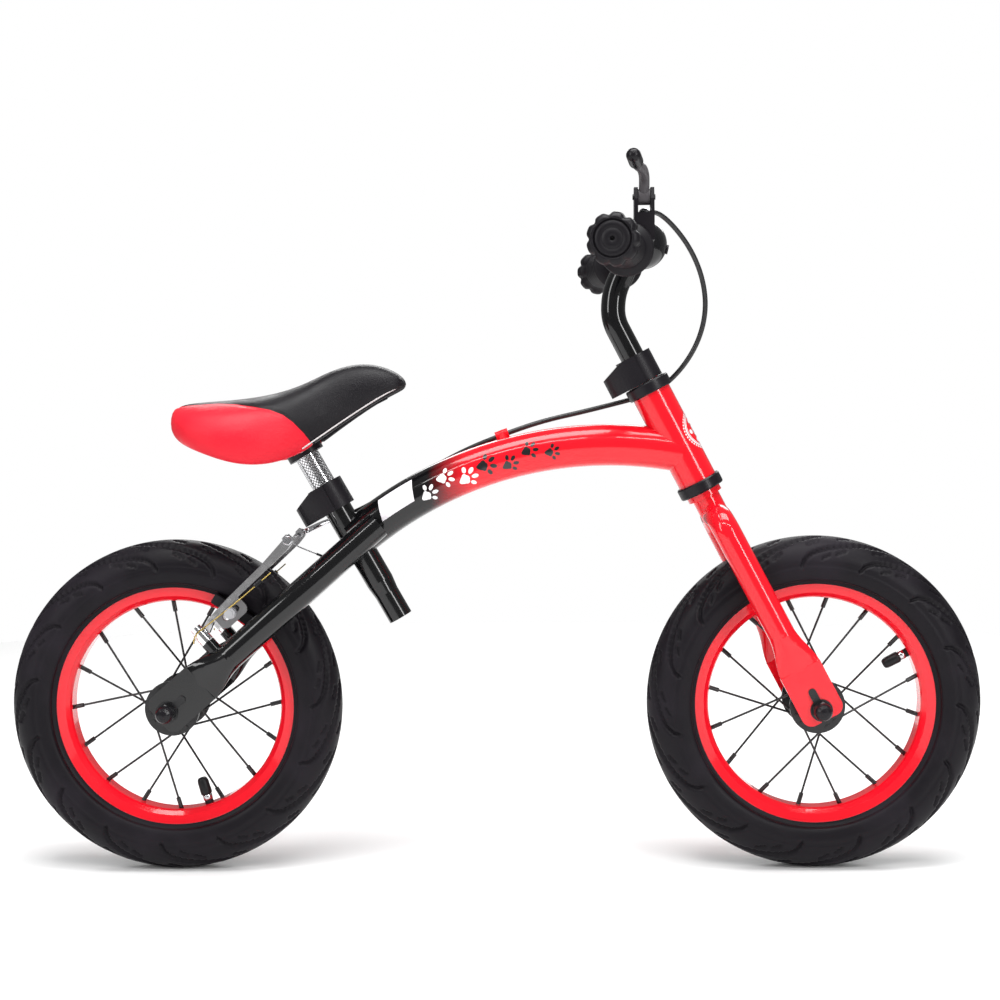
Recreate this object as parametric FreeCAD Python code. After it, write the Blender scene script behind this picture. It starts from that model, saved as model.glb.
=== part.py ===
import FreeCAD, Part
import math
import os
from FreeCAD import Matrix, Placement, Vector as V

# A child's balance bike. Millimetres. X is forward, Y to the rider's left, Z up.
# The origin is on the floor, midway between the two axles.

# wheels
wheelbase = 586.0
bead_seat_r = 101.5
tyre_height = 51.0
tyre_width = 52.0
tyre_wall = 3.4
rim_flange_r = 112.0
rim_inner_r = 96.8
rim_half_width = 15.6
rim_sheet = 1.6
tube_wall = 1.1
hub_spacing = 94.0
hub_barrel_r = 14.0
hub_flange_r = 25.0
hub_flange_y = 27.0
hub_flange_t = 3.0
axle_r = 4.75
axle_half_length = 65.0
spoke_count = 16
spoke_r = 1.0
spoke_hole_circle = 21.0
spoke_lean = 56.0
nipple_r = 2.0
nipple_length = 12.5
valve_r = 4.0
valve_length = 24.0
rear_lacing_angle = 1.5
front_lacing_angle = 14.5
rear_valve_angle = -73.4
front_valve_angle = 27.5

# steering axis and headset
head_lean = 27.4
head_above_tyre = 76.5
head_length = 91.0
head_tube_r = 18.0
head_tube_wall = 2.0
cup_r = 21.0
cup_height = 10.5
cup_insert = 9.0
steerer_r = 12.7
steerer_wall = 1.5
bearing_r = 17.4
bearing_height = 7.0

# fork
leg_r = 12.0
leg_wall = 1.6
crown_above_tyre = 41.5
leg_spread_low = 49.5
leg_spread_high = 43.0

# dropout plates of the stays and the fork legs
plate_t = 5.0
plate_half_width = 19.5
plate_above_axle = 38.0
plate_below_axle = 10.0
flatten_start = 78.0

# seat cluster
seat_lean = 29.5
seat_foot_ahead = 207.3
seat_foot_above = 79.4
stub_r = 11.3
stub_bore_r = 9.8
stub_length = 26.0
swage_length = 12.0
seat_tube_r = 12.7
seat_tube_length = 140.0
seat_post_r = 11.1
post_bottom = 66.0
post_top = 190.0
saddle_height = 176.0

# frame tubes
main_tube_r = 19.0
main_tube_wall = 1.8
main_tube_arch = 35.5
main_joint_seat = 83.0
main_joint_head = 30.0
stay_r = 12.5
stay_wall = 1.6
stay_aim = 79.0
stay_overrun = 28.0
stay_spread_top = 24.5

# quick-release clamps
collar_r = 17.0
collar_height = 26.0
clamp_lever_reach = 34.0
clamp_lever_half = 19.0
clamp_pin_r = 2.0

# handlebar
bar_r = 11.1
bar_half = 180.0
bar_straight = 38.0
bar_sweep = 23.0
bar_ahead = 127.0
bar_height = 560.0
post_insert = 96.0
grip_length = 100.0
grip_r = 16.5
grip_flange_r = 24.0
grip_knob_r = 22.0
bell_y = 60.0
bell_r = 23.5
lever_clamp_y = -70.0
sleeve_r = 6.2

# brake
pad_gap = 1.8
arm_pivot_along = 69.0
arm_pivot_out = 45.0
arm_length = 119.0
arm_t = 8.0
pivot_r = 3.0
cable_r = 2.3
wire_r = 0.8

# clearances
running_gap = 0.05
fit_gap = 0.08
free_gap = 0.4

os.makedirs("parts", exist_ok=True)

tyre_r = bead_seat_r + tyre_height
section_r = tyre_width / 2
tyre_centre_r = tyre_r - section_r
origin = V(0, 0, 0)
side_axis = V(0, 1, 0)
rear_axle = V(-wheelbase / 2, 0, tyre_r)
front_axle = V(wheelbase / 2, 0, tyre_r)


def unit(v):
    return v * (1 / v.Length)


def rod(a, b, r):
    """A solid round bar from a to b."""
    return Part.makeCylinder(r, (b - a).Length, a, b - a)


def hollow(a, b, r_out, r_in):
    """A round tube from a to b."""
    return rod(a, b, r_out).cut(rod(a, b, r_in))


def place(shape, at, z_dir, x_dir):
    """Put a shape drawn at the origin at a point, with its Z and X along two directions."""
    z = unit(z_dir)
    x = unit(x_dir - z * x_dir.dot(z))
    y = z.cross(x)
    turned_to = Matrix(x.x, y.x, z.x, at.x, x.y, y.y, z.y, at.y, x.z, y.z, z.z, at.z, 0, 0, 0, 1)
    moved = shape.copy()
    moved.Placement = Placement(turned_to).multiply(moved.Placement)
    return moved


def polygon_face(points):
    return Part.Face(Part.makePolygon(points + [points[0]]))


def turned(profile, at, axis):
    """Turn an outline of (radius, distance along the axis) points about an axis through a point."""
    face = polygon_face([V(r, 0, h) for r, h in profile])
    solid = face.revolve(origin, V(0, 0, 1), 360)
    across = V(0, 0, 1) if abs(unit(axis).z) < 0.9 else V(1, 0, 0)
    return place(solid, at, axis, across)


def route(points, print_name=None, largest=10000.0):
    """A wire of straight runs joined by tangent arcs, each as large as its two runs allow."""
    edges = []
    start = points[0]
    radii = []
    for before, corner, after in zip(points, points[1:], points[2:]):
        into = unit(corner - before)
        out = unit(after - corner)
        half_turn = into.getAngle(out) / 2
        reach = 0.45 * min((corner - before).Length, (after - corner).Length)
        reach = min(reach, largest * math.tan(half_turn))
        radii.append(reach / math.tan(half_turn))
        first = corner - into * reach
        last = corner + out * reach
        bulge = unit(out - into) * (radii[-1] / math.cos(half_turn) - radii[-1])
        edges.append(Part.LineSegment(start, first).toShape())
        edges.append(Part.Arc(first, corner + bulge, last).toShape())
        start = last
    edges.append(Part.LineSegment(start, points[-1]).toShape())
    if print_name:
        print(print_name, "arc radii", [round(r, 1) for r in radii])
    return Part.Wire(edges)


def pipe(wire, r):
    """A round solid along a wire."""
    edge = wire.OrderedEdges[0]
    tangent = edge.tangentAt(edge.FirstParameter)
    at = edge.valueAt(edge.FirstParameter)
    section = Part.Wire(Part.Circle(at, tangent, r).toShape())
    return wire.makePipeShell([section], True, False)


def both_sides(shape):
    """A shape and its mirror image across the bike's middle."""
    return Part.makeCompound([shape, shape.mirror(origin, side_axis)])


def save(name, shape):
    shape.exportStep("parts/" + name + ".step")


def axis_frame(at, up, ahead):
    """A function that turns (along, ahead, side) of a leaning axis into a point."""
    return lambda along, ahead_by=0.0, side=0.0: at + up * along + ahead * ahead_by + V(0, side, 0)


head_angle = math.radians(head_lean)
steer_up = V(-math.sin(head_angle), 0, math.cos(head_angle))
steer_ahead = V(math.cos(head_angle), 0, math.sin(head_angle))
steer = axis_frame(front_axle, steer_up, steer_ahead)

seat_angle = math.radians(seat_lean)
seat_up = V(-math.sin(seat_angle), 0, math.cos(seat_angle))
seat_ahead = V(math.cos(seat_angle), 0, math.sin(seat_angle))
seat_foot = rear_axle + V(seat_foot_ahead, 0, seat_foot_above)
seat = axis_frame(seat_foot, seat_up, seat_ahead)

stay_up = unit(seat(stay_aim) - rear_axle)
stay_back = V(-stay_up.z, 0, stay_up.x)
stay = axis_frame(rear_axle, stay_up, stay_back)
stay_length = (seat(stay_aim) - rear_axle).Length + stay_overrun

head_bottom = tyre_r + head_above_tyre
head_top = head_bottom + head_length
crown_height = tyre_r + crown_above_tyre


# Wheels -----------------------------------------------------------------------------------------

def rim_solid(centre, lacing, valve_angle):
    """A channel rim, open outwards, drilled for its nipples and its valve."""
    lip = rim_half_width
    well = rim_half_width - 4.6
    outer = [(rim_flange_r, lip), (rim_flange_r - 3, lip - 0.3), (bead_seat_r, lip - 1.4),
             (rim_inner_r + 1.2, well), (rim_inner_r, well - 2.6)]
    inner = [(r + rim_sheet, y - 0.3) if i > 2 else (r, y - rim_sheet)
             for i, (r, y) in enumerate(outer)]
    half = outer + [(r, -y) for r, y in reversed(outer)]
    back = [(r, -y) for r, y in inner] + list(reversed(inner))
    rim = turned(half + back, centre, side_axis)
    holes = [nipple_solid(spoke_line(centre, lacing, k), 2.2, 4.0) for k in range(spoke_count)]
    out = wheel_direction(valve_angle)
    holes.append(rod(centre + out * (rim_inner_r - 6), centre + out * bead_seat_r, valve_r + 0.3))
    return rim.cut(holes)


def wheel_direction(angle):
    a = math.radians(angle)
    return V(math.cos(a), 0, math.sin(a))


def spoke_line(centre, lacing, k):
    """Where spoke k leaves the hub flange and where it meets the rim, and its flange's side."""
    side = -1 if k % 2 == 0 else 1
    trails = (k // 2) % 2
    rim_angle = lacing + k * 360.0 / spoke_count
    hub_angle = rim_angle + (spoke_lean if trails else -spoke_lean)
    inboard = 2.4 * spoke_r * trails
    hub_y = side * (hub_flange_y - hub_flange_t / 2 - spoke_r - 0.3 - inboard)
    rim_y = side * (1.4 + 2.4 * spoke_r - inboard)
    at_hub = centre + wheel_direction(hub_angle) * spoke_hole_circle + V(0, hub_y, 0)
    at_rim = centre + wheel_direction(rim_angle) * (rim_inner_r + 1.8) + V(0, rim_y, 0)
    return at_hub, at_rim, side


def nipple_solid(line, r, extra=0.0):
    at_hub, at_rim, side = line
    along = unit(at_rim - at_hub)
    return rod(at_rim - along * nipple_length, at_rim + along * extra, r)


def spoke_solid(line):
    """One spoke, with the bent end and the head that hold it in its flange hole."""
    at_hub, at_rim, side = line
    along = unit(at_rim - at_hub)
    straight = rod(at_hub, at_rim - along * nipple_length, spoke_r)
    head = V(at_hub.x, side * (hub_flange_y + hub_flange_t / 2 + 0.1), at_hub.z)
    knob = rod(head, head + V(0, side * 1.1, 0), 1.8 * spoke_r)
    return straight.fuse([rod(at_hub, head, spoke_r), Part.makeSphere(spoke_r, at_hub), knob])


def tyre_hollow(inset):
    """Outline of the space inside the tyre, drawn in by an inset."""
    r = section_r - tyre_wall - inset
    low = tyre_centre_r - section_r + 15.5 + inset
    y = math.sqrt(r ** 2 - (tyre_centre_r - low) ** 2)
    neck = rim_half_width - 5.6 - inset
    foot = bead_seat_r + 0.6 + inset
    arc = Part.Arc(V(low, 0, y), V(tyre_centre_r + r, 0, 0), V(low, 0, -y)).toShape()
    below = Part.makePolygon([V(low, 0, -y), V(low - 3.5, 0, -neck), V(foot, 0, -neck),
                              V(foot, 0, neck), V(low - 3.5, 0, neck), V(low, 0, y)])
    return Part.Face(Part.Wire([arc] + below.Edges))


def ring_of(face, centre):
    return place(face.revolve(origin, V(0, 0, 1), 360), centre, side_axis, V(0, 0, 1))


def tyre_solid(centre):
    """A tyre whose beads sit inside the rim's flanges."""
    seat_y = rim_half_width - rim_sheet - 1.4 - 0.15
    lip_y = rim_half_width - rim_sheet - 0.15
    shoulder = rim_flange_r + 3.5
    y = math.sqrt(section_r ** 2 - (tyre_centre_r - shoulder) ** 2)
    arc = Part.Arc(V(shoulder, 0, y), V(tyre_r, 0, 0), V(shoulder, 0, -y)).toShape()
    foot = bead_seat_r + 0.6
    below = Part.makePolygon([V(shoulder, 0, -y), V(rim_flange_r + 0.8, 0, -lip_y - 1.5),
                              V(rim_flange_r, 0, -lip_y), V(foot, 0, -seat_y), V(foot, 0, seat_y),
                              V(rim_flange_r, 0, lip_y), V(rim_flange_r + 0.8, 0, lip_y + 1.5),
                              V(shoulder, 0, y)])
    whole = ring_of(Part.Face(Part.Wire([arc] + below.Edges)), centre)
    return whole.cut(ring_of(tyre_hollow(0.0), centre))


def inner_tube_solid(centre, valve_angle):
    """The air tube, with the valve stem that is moulded to it."""
    skin = ring_of(tyre_hollow(0.3), centre)
    out = wheel_direction(valve_angle)
    stem = rod(centre + out * (rim_inner_r - valve_length), centre + out * (bead_seat_r + 2), valve_r)
    air = ring_of(tyre_hollow(0.3 + tube_wall), centre)
    return skin.fuse(stem).cut(air)


def hub_solid(centre, lacing):
    end = hub_flange_y + 6.0
    flange_in = hub_flange_y - hub_flange_t / 2
    flange_out = hub_flange_y + hub_flange_t / 2
    upper = [(hub_barrel_r, flange_in - 3), (hub_barrel_r + 3, flange_in), (hub_flange_r, flange_in),
             (hub_flange_r, flange_out), (hub_barrel_r, flange_out), (hub_barrel_r - 2, end)]
    bore_r = axle_r + running_gap
    outline = [(bore_r, -end)] + [(r, -y) for r, y in reversed(upper)] + upper + [(bore_r, end)]
    hub = turned(outline, centre, side_axis)
    holes = []
    for k in range(spoke_count):
        at_hub, at_rim, side = spoke_line(centre, lacing, k)
        foot = V(at_hub.x, side * (hub_flange_y - 4), at_hub.z)
        head = V(at_hub.x, side * (hub_flange_y + 4), at_hub.z)
        holes.append(rod(foot, head, spoke_r + 0.15))
    return hub.cut(holes)


def axle_solid(centre):
    """The fixed axle with the cones and spacers that hold the hub between the plates."""
    y_cone = hub_flange_y + 6.0 + free_gap
    y_plate = hub_spacing / 2
    half = [(axle_r, axle_half_length), (axle_r, y_plate), (8.0, y_plate), (8.0, y_cone + 6),
            (6.5, y_cone), (axle_r, y_cone)]
    outline = [(0, -axle_half_length)] + [(r, -y) for r, y in half]
    outline += [(r, y) for r, y in reversed(half)] + [(0, axle_half_length)]
    return turned(outline, centre, side_axis)


def axle_nuts(centre, up):
    """On each side a washer with a tab that keys the plate, and a hexagon nut."""
    face_y = hub_spacing / 2 + plate_t
    washer_t = 1.6
    a = V(centre.x, face_y, centre.z)
    washer = rod(a, a + V(0, washer_t, 0), 10.0)
    tab = Part.makeBox(7.0, washer_t, 18.0, V(-3.5, 0, 0))
    tab = tab.fuse(rod(V(0, 0, 18), V(0, washer_t, 18), 3.5))
    washer = washer.fuse(place(tab, a, up, V(up.z, 0, -up.x)))
    hexagon = [V(8.7 * math.cos(math.radians(60 * k)), 8.7 * math.sin(math.radians(60 * k)), 0)
               for k in range(6)]
    nut = polygon_face(hexagon).extrude(V(0, 0, 8.0))
    chamfer = turned([(0, -1), (9.6, -1), (9.6, 5.5), (6.8, 8.6), (0, 8.6)], origin, V(0, 0, 1))
    nut = place(nut.common(chamfer), a + V(0, washer_t, 0), side_axis, V(0, 0, 1))
    bore = rod(a - V(0, 1, 0), a + V(0, 12, 0), axle_r + fit_gap)
    return both_sides(Part.makeCompound([washer.cut(bore), nut.cut(bore)]))


def nut_caps(centre):
    """Domed plastic caps over the axle ends."""
    y = hub_spacing / 2 + plate_t + 1.6 + 8.0
    outline = [(axle_r + fit_gap, 0), (7.6, 0), (8.0, 1.2), (7.7, 4.0), (6.4, 6.4), (4.0, 8.0),
               (0, 8.7), (0, 6.6), (axle_r + fit_gap, 6.0)]
    return both_sides(turned(outline, V(centre.x, y, centre.z), side_axis))


def wheel(name, centre, up, lacing, valve_angle):
    lines = [spoke_line(centre, lacing, k) for k in range(spoke_count)]
    save(name + "_rim", rim_solid(centre, lacing, valve_angle))
    save(name + "_tyre", tyre_solid(centre))
    save(name + "_inner_tube", inner_tube_solid(centre, valve_angle))
    save(name + "_hub", hub_solid(centre, lacing))
    spokes = [spoke_solid(line) for line in lines]
    nipples = [nipple_solid(line, nipple_r) for line in lines]
    save(name + "_spokes", Part.makeCompound(spokes + nipples))
    save(name + "_axle", axle_solid(centre))
    save(name + "_axle_nuts", axle_nuts(centre, up))
    save(name + "_nut_caps", nut_caps(centre))


# Legs with flattened ends -----------------------------------------------------------------------

def flattened_leg(spot, up, across, r, wall, path_points):
    """A tube that is pressed flat into a slotted plate at the axle. spot is its axis function."""
    side = path_points[0].y / abs(path_points[0].y)
    y_plate = side * (hub_spacing / 2 + plate_t / 2)
    sections = []
    stages = 6
    for i in range(stages + 1):
        part_way = i / stages
        flat = part_way ** 2 * (3 - 2 * part_way)
        along = flatten_start + (plate_above_axle - flatten_start) * part_way
        wide = r + (plate_half_width - r) * flat + 0.001
        ellipse = Part.Ellipse(origin, wide, r + (plate_t / 2 - r) * flat)
        outline = Part.Wire(ellipse.toShape())
        sections.append(place(outline, spot(along, 0, y_plate), up, across))
    neck = Part.makeLoft(sections, True)
    height = plate_above_axle + plate_below_axle + 3
    slab = Part.makeBox(2 * plate_half_width, plate_t, height,
                        V(-plate_half_width, -plate_t / 2, -plate_below_axle))
    low_edges = [e for e in slab.Edges if abs(e.CenterOfMass.z + plate_below_axle) < 0.01
                 and abs(e.CenterOfMass.x) > plate_half_width - 0.01]
    slab = slab.makeFillet(9.0, low_edges)
    slab = place(slab, spot(0, 0, y_plate), up, across)
    wire = route(path_points)
    leg = pipe(wire, r).fuse([neck, slab])
    slot = rod(spot(0, 0, y_plate - 5), spot(0, 0, y_plate + 5), axle_r + fit_gap)
    mouth = Part.makeBox(2 * (axle_r + fit_gap), 10, 20, V(-axle_r - fit_gap, -5, -20))
    leg = leg.cut([slot, place(mouth, spot(0, 0, y_plate), up, across)])
    return leg, pipe(wire, r - wall)


def fork_leg(side):
    points = [steer(flatten_start - 4, 0, side * leg_spread_low),
              steer(tyre_r - 2, 0, side * (leg_spread_high + 2)),
              steer(crown_height - 2, 0, side * leg_spread_high), steer(crown_height, 0, side * 6)]
    leg, inside = flattened_leg(steer, steer_up, steer_ahead, leg_r, leg_wall, points)
    return leg.cut([inside, rod(steer(crown_height - 40), steer(crown_height + 60), steerer_r)])


def frame_stay(side):
    points = [stay(flatten_start - 4, 0, side * leg_spread_low),
              stay(tyre_r - 4, 0, side * (leg_spread_high + 3)),
              stay(stay_length, 0, side * stay_spread_top)]
    leg, inside = flattened_leg(stay, stay_up, stay_back, stay_r, stay_wall, points)
    capped = inside.cut(rod(stay(stay_length - 3), stay(stay_length + 20), 60))
    return leg.cut(capped)


# Frame ------------------------------------------------------------------------------------------

main_rear = seat(main_joint_seat)
main_front = steer(head_bottom + main_joint_head)
chord = main_front - main_rear
arch = unit(V(-chord.z, 0, chord.x)) * main_tube_arch
main_line = Part.Wire(Part.Arc(main_rear, (main_rear + main_front) * 0.5 + arch, main_front).toShape())
main_outside = pipe(main_line, main_tube_r)
head_outside = rod(steer(head_bottom), steer(head_top), head_tube_r)
stub_end = stub_length + swage_length
seat_outside = rod(seat(stub_end), seat(seat_tube_length), seat_tube_r)
seat_bore_r = seat_post_r + fit_gap
head_bore_r = head_tube_r - head_tube_wall

main_bore = pipe(main_line, main_tube_r - main_tube_wall)
save("main_tube", main_outside.cut([main_bore, head_outside, seat_outside]))
save("head_tube", hollow(steer(head_bottom), steer(head_top), head_tube_r, head_bore_r))
seat_outline = [(stub_bore_r, 0), (stub_r, 0), (stub_r, stub_length), (seat_tube_r, stub_end),
                (seat_tube_r, seat_tube_length), (seat_bore_r, seat_tube_length),
                (seat_bore_r, stub_end), (stub_bore_r, stub_length)]
save("seat_tube", turned(seat_outline, seat_foot, seat_up))

for name, side in (("right", -1), ("left", 1)):
    save(name + "_stay", frame_stay(side).cut([main_outside, seat_outside]))
    save(name + "_fork_leg", fork_leg(side))


def cup(at, outward):
    """A headset cup: a flange outside the head tube and an insert pressed into it."""
    bearing_seat = bearing_r + running_gap
    outline = [(steerer_r + 1.0, -cup_insert), (head_bore_r, -cup_insert), (head_bore_r, 0),
               (cup_r - 0.8, 0), (cup_r, 1.2), (cup_r, cup_height - 1.2),
               (cup_r - 0.8, cup_height), (bearing_seat, cup_height),
               (bearing_seat, cup_height - bearing_height), (steerer_r + 1.0, cup_height - bearing_height)]
    return turned(outline, at, outward)


def bearing(at, outward):
    """A ball ring that seats on the steerer and runs in the cup."""
    low = cup_height - bearing_height + free_gap
    outline = [(steerer_r + fit_gap, low), (bearing_r, low), (bearing_r, cup_height + free_gap),
               (steerer_r + fit_gap, cup_height + free_gap)]
    return turned(outline, at, outward)


save("upper_cup", cup(steer(head_top), steer_up))
save("lower_cup", cup(steer(head_bottom), steer_up * -1))
save("headset_bearings", Part.makeCompound([bearing(steer(head_top), steer_up),
                                            bearing(steer(head_bottom), steer_up * -1)]))

clamp_bottom = head_top + cup_height + 2 * free_gap
steerer_top = clamp_bottom + collar_height
steerer_bore_r = bar_r + fit_gap
crown_top = head_bottom - cup_height - free_gap
steerer = hollow(steer(crown_height - leg_r), steer(steerer_top), steerer_r, steerer_bore_r)
crown_race = hollow(steer(crown_top - 5), steer(crown_top), steerer_r + 3.5, steerer_r - 0.5)
save("fork_steerer", steerer.fuse(crown_race))

seat_clamp_bottom = seat_tube_length - collar_height + 1.0


# Quick-release clamps ---------------------------------------------------------------------------

def clamp_parts(spot, up, ahead, bottom, tube_r):
    """A slotted collar, its hinge pin and the wide curved lever that wraps its back."""
    h = collar_height
    collar = turned([(tube_r + fit_gap, 0), (collar_r, 0), (collar_r, h), (tube_r + fit_gap, h)],
                    origin, V(0, 0, 1))
    pin_at = V(2.0, clamp_lever_half + 2.4, 0)
    knuckle_r = clamp_pin_r + 2.2
    ears = []
    for low, high in ((0, 0.28 * h), (0.72 * h, h)):
        ear = rod(pin_at + V(0, 0, low), pin_at + V(0, 0, high), knuckle_r)
        web = Part.makeBox(6, clamp_lever_half + 2.4 - tube_r - 1, high - low, V(-1, tube_r + 1, low))
        ears += [ear, web]
    slot = Part.makeBox(20, 3.0, h + 2, V(-24, -1.5, -1))
    bore = rod(pin_at - V(0, 0, 1), pin_at + V(0, 0, h + 1), clamp_pin_r + running_gap)
    hollow_core = rod(V(0, 0, -1), V(0, 0, h + 1), tube_r + fit_gap)
    collar = collar.fuse(ears).cut([slot, bore, hollow_core])

    lever = polygon_face(lever_outline()).extrude(V(0, 0, h))
    inside = rod(V(0, 0, -1), V(0, 0, h + 1), collar_r + free_gap)
    lever = lever.cut(inside)
    slope = polygon_face([V(-12, -40, h + 0.1), V(-60, -40, h - 18), V(-60, -40, h + 20),
                          V(-12, -40, h + 20)]).extrude(V(0, 80, 0))
    lever = lever.cut(slope)
    middle = rod(pin_at + V(0, 0, 0.28 * h + free_gap), pin_at + V(0, 0, 0.72 * h - free_gap), knuckle_r)
    for low, high in ((-1, 0.28 * h + free_gap), (0.72 * h - free_gap, h + 1)):
        room = rod(pin_at + V(0, 0, low), pin_at + V(0, 0, high), knuckle_r + free_gap)
        beside = Part.makeBox(9.5, 12, high - low, V(-2.5, collar_r - 2, low))
        lever = lever.cut([room, beside])
    lever = lever.fuse(middle).cut([bore, inside])

    pin = rod(pin_at + V(0, 0, -0.6), pin_at + V(0, 0, h + 0.6), clamp_pin_r)
    at = spot(bottom)
    return [place(shape, at, up, ahead) for shape in (collar, lever, pin)]


def lever_outline():
    """Plan of the lever: flush with the collar at its sides and bulging behind it."""
    steps = 28
    points = []
    for i in range(steps + 1):
        a = math.radians(90 + 180 * i / steps)
        points.append(V(clamp_lever_reach * math.cos(a), clamp_lever_half * math.sin(a), 0))
    return [V(2.0, clamp_lever_half, 0)] + points


for name, spot, up, ahead, bottom, tube_r in (
        ("seat_clamp", seat, seat_up, seat_ahead, seat_clamp_bottom, seat_tube_r),
        ("bar_clamp", steer, steer_up, steer_ahead, clamp_bottom, steerer_r)):
    collar, lever, pin = clamp_parts(spot, up, ahead, bottom, tube_r)
    save(name + "_collar", collar)
    save(name + "_lever", lever)
    save(name + "_pin", pin)


# Saddle -----------------------------------------------------------------------------------------

# Stations of the pad from tail to nose: x from the saddle's post, top, lower edge, half width.
saddle_x = seat(saddle_height).x
saddle_z = seat(saddle_height).z
pad_stations = [(-114.0, 39.0, 26.0, 30.0), (-106.0, 44.0, 12.0, 55.0), (-84.0, 46.5, 2.0, 70.0),
                (-54.0, 48.5, -8.0, 73.0), (-24.0, 53.0, -9.0, 66.0), (2.0, 61.0, 0.0, 47.0),
                (26.0, 73.5, 16.0, 31.0), (52.0, 79.5, 35.0, 23.5), (76.0, 76.5, 50.0, 19.5),
                (90.0, 65.0, 57.0, 13.0)]
pad_thickness = 20.0
shell_t = 5.0


def pad_section(x, top, low, half, inset):
    """An arched section of the pad, thick over the top and thinner down its skirts."""
    crown = top - inset
    rise = crown - low
    roof = crown - min(pad_thickness, 0.55 * rise)
    skirt = min(16.0, 0.42 * half)
    outer = [(half - inset, low), (half - inset, low + 0.45 * rise), (0.84 * half, low + 0.8 * rise),
             (0.5 * half, low + 0.96 * rise), (0.0, crown)]
    inner = [(half - skirt, low), (half - skirt - 1, low + 0.25 * (roof - low)),
             (0.45 * half, low + 0.8 * (roof - low)), (0.0, roof)]
    ring = outer + [(-y, z) for y, z in reversed(outer[:-1])]
    ring += [(-y, z) for y, z in inner] + [(y, z) for y, z in reversed(inner[:-1])]
    return Part.makePolygon([V(saddle_x + x, y, saddle_z + z) for y, z in ring + [ring[0]]])


def base_section(x, top, low, half):
    """A shell section that follows the pad's underside."""
    rise = top - low
    roof = top - min(pad_thickness, 0.55 * rise) - 1.0
    skirt = min(16.0, 0.42 * half) + 1.5
    y_side = max(half - skirt, 3.0)
    z_side = low + 0.25 * (roof - low)
    z_mid = low + 0.72 * (roof - low)
    upper = [(y_side, z_side), (0.4 * half, z_mid), (0.0, roof - 1.5)]
    ring = upper + [(-y, z) for y, z in reversed(upper[:-1])]
    ring += [(-y, z - shell_t) for y, z in upper[:-1]] + [(0.0, roof - 1.5 - shell_t)]
    ring += [(y, z - shell_t) for y, z in reversed(upper[:-1])]
    return Part.makePolygon([V(saddle_x + x, y, saddle_z + z) for y, z in ring + [ring[0]]])


pad = Part.makeLoft([pad_section(*s, 0.0) for s in pad_stations], True, True)
save("saddle_pad", pad)
shell = Part.makeLoft([base_section(*s) for s in pad_stations[1:-1]], True, True)
socket_r = seat_post_r + 6.0
socket = rod(seat(saddle_height - 4), seat(post_top + 30), socket_r)
socket_bore = rod(seat(saddle_height - 6), seat(post_top), seat_post_r + fit_gap)
bolt_at = seat(saddle_height + 5)
bolt_hole = rod(bolt_at - V(0, 40, 0), bolt_at + V(0, 40, 0), 3.0 + fit_gap)
saddle_base = shell.fuse(socket).cut([socket_bore, bolt_hole, pad])
save("saddle_base", max(saddle_base.Solids, key=lambda s: s.Volume))
post = hollow(seat(post_bottom), seat(post_top), seat_post_r, seat_post_r - 1.6)
save("seat_post", post.cut(bolt_hole))
bolt = rod(bolt_at - V(0, socket_r + 3, 0), bolt_at + V(0, socket_r + 4, 0), 3.0)
head = rod(bolt_at - V(0, socket_r + 6, 0), bolt_at - V(0, socket_r + 1, 0), 5.5)
nut = rod(bolt_at + V(0, socket_r + 1, 0), bolt_at + V(0, socket_r + 5, 0), 5.5)
save("saddle_bolt", bolt.fuse([head, nut]))


# Handlebar --------------------------------------------------------------------------------------

bar_end = V(bar_ahead - bar_sweep, -bar_half, bar_height)
bar_bend = V(bar_ahead, -bar_straight, bar_height)
bar_way = unit(bar_end - bar_bend)
bar_points = [bar_end, bar_bend, V(bar_ahead, bar_straight, bar_height),
              V(bar_end.x, bar_half, bar_height)]
bar_line = route(bar_points, largest=60.0)
bar_outside = pipe(bar_line, bar_r)
save("handlebar", bar_outside.cut(pipe(bar_line, bar_r - 1.8)))

post_bend = steer(steerer_top + 38.5)
post_points = [steer(steerer_top - post_insert), post_bend, V(post_bend.x + 1.2, 0, post_bend.z + 24),
               V(bar_ahead, 0, bar_height)]
post_line = route(post_points)
post_bore_line = route([post_points[0] - steer_up * 2] + post_points[1:])
post_shape = pipe(post_line, bar_r).cut(pipe(post_bore_line, bar_r - 1.8)).cut(bar_outside)
save("handlebar_post", max(post_shape.Solids, key=lambda s: s.Volume))


def bar_spot(y):
    """The centre of the bar at a distance out from the bike's middle, in its swept part."""
    out = (abs(y) - bar_straight) / (bar_half - bar_straight)
    return V(bar_ahead - bar_sweep * out, y, bar_height)


def grip_solid(side):
    """A rubber grip: a hand flange inboard, a ribbed barrel and a scalloped knob at the end."""
    way = V(bar_way.x, side * abs(bar_way.y), 0)
    tip = V(bar_end.x, side * bar_half, bar_height)
    n = grip_length
    inner = bar_r + running_gap
    outline = [(inner, -n), (grip_flange_r - 1, -n), (grip_flange_r, -n + 1.5),
               (grip_flange_r - 1, -n + 3.5), (grip_r + 1, -n + 5), (grip_r, -n + 8), (grip_r, -18),
               (grip_knob_r - 1.5, -14), (grip_knob_r, -12.5), (grip_knob_r - 1.2, -11),
               (grip_knob_r + 0.6, -8), (grip_knob_r - 0.6, -6), (grip_knob_r, -3.5),
               (grip_knob_r - 1, 0.5), (16.5, 3.0), (15.5, 2.2), (8.5, 3.2), (2.0, 3.2), (2.0, 0.6),
               (inner, 0.6)]
    grip = turned(outline, tip, way)
    scallops = []
    for k in range(9):
        a = math.radians(40 * k + 10)
        around = V(0, 0, 1) * math.sin(a) + unit(way.cross(V(0, 0, 1))) * math.cos(a)
        at = tip + around * (grip_knob_r + 5.2)
        scallops.append(rod(at - way * 15.5, at + way * 5, 6.2))
    return grip.cut(scallops)


save("right_grip", grip_solid(-1))
save("left_grip", grip_solid(1))

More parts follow.
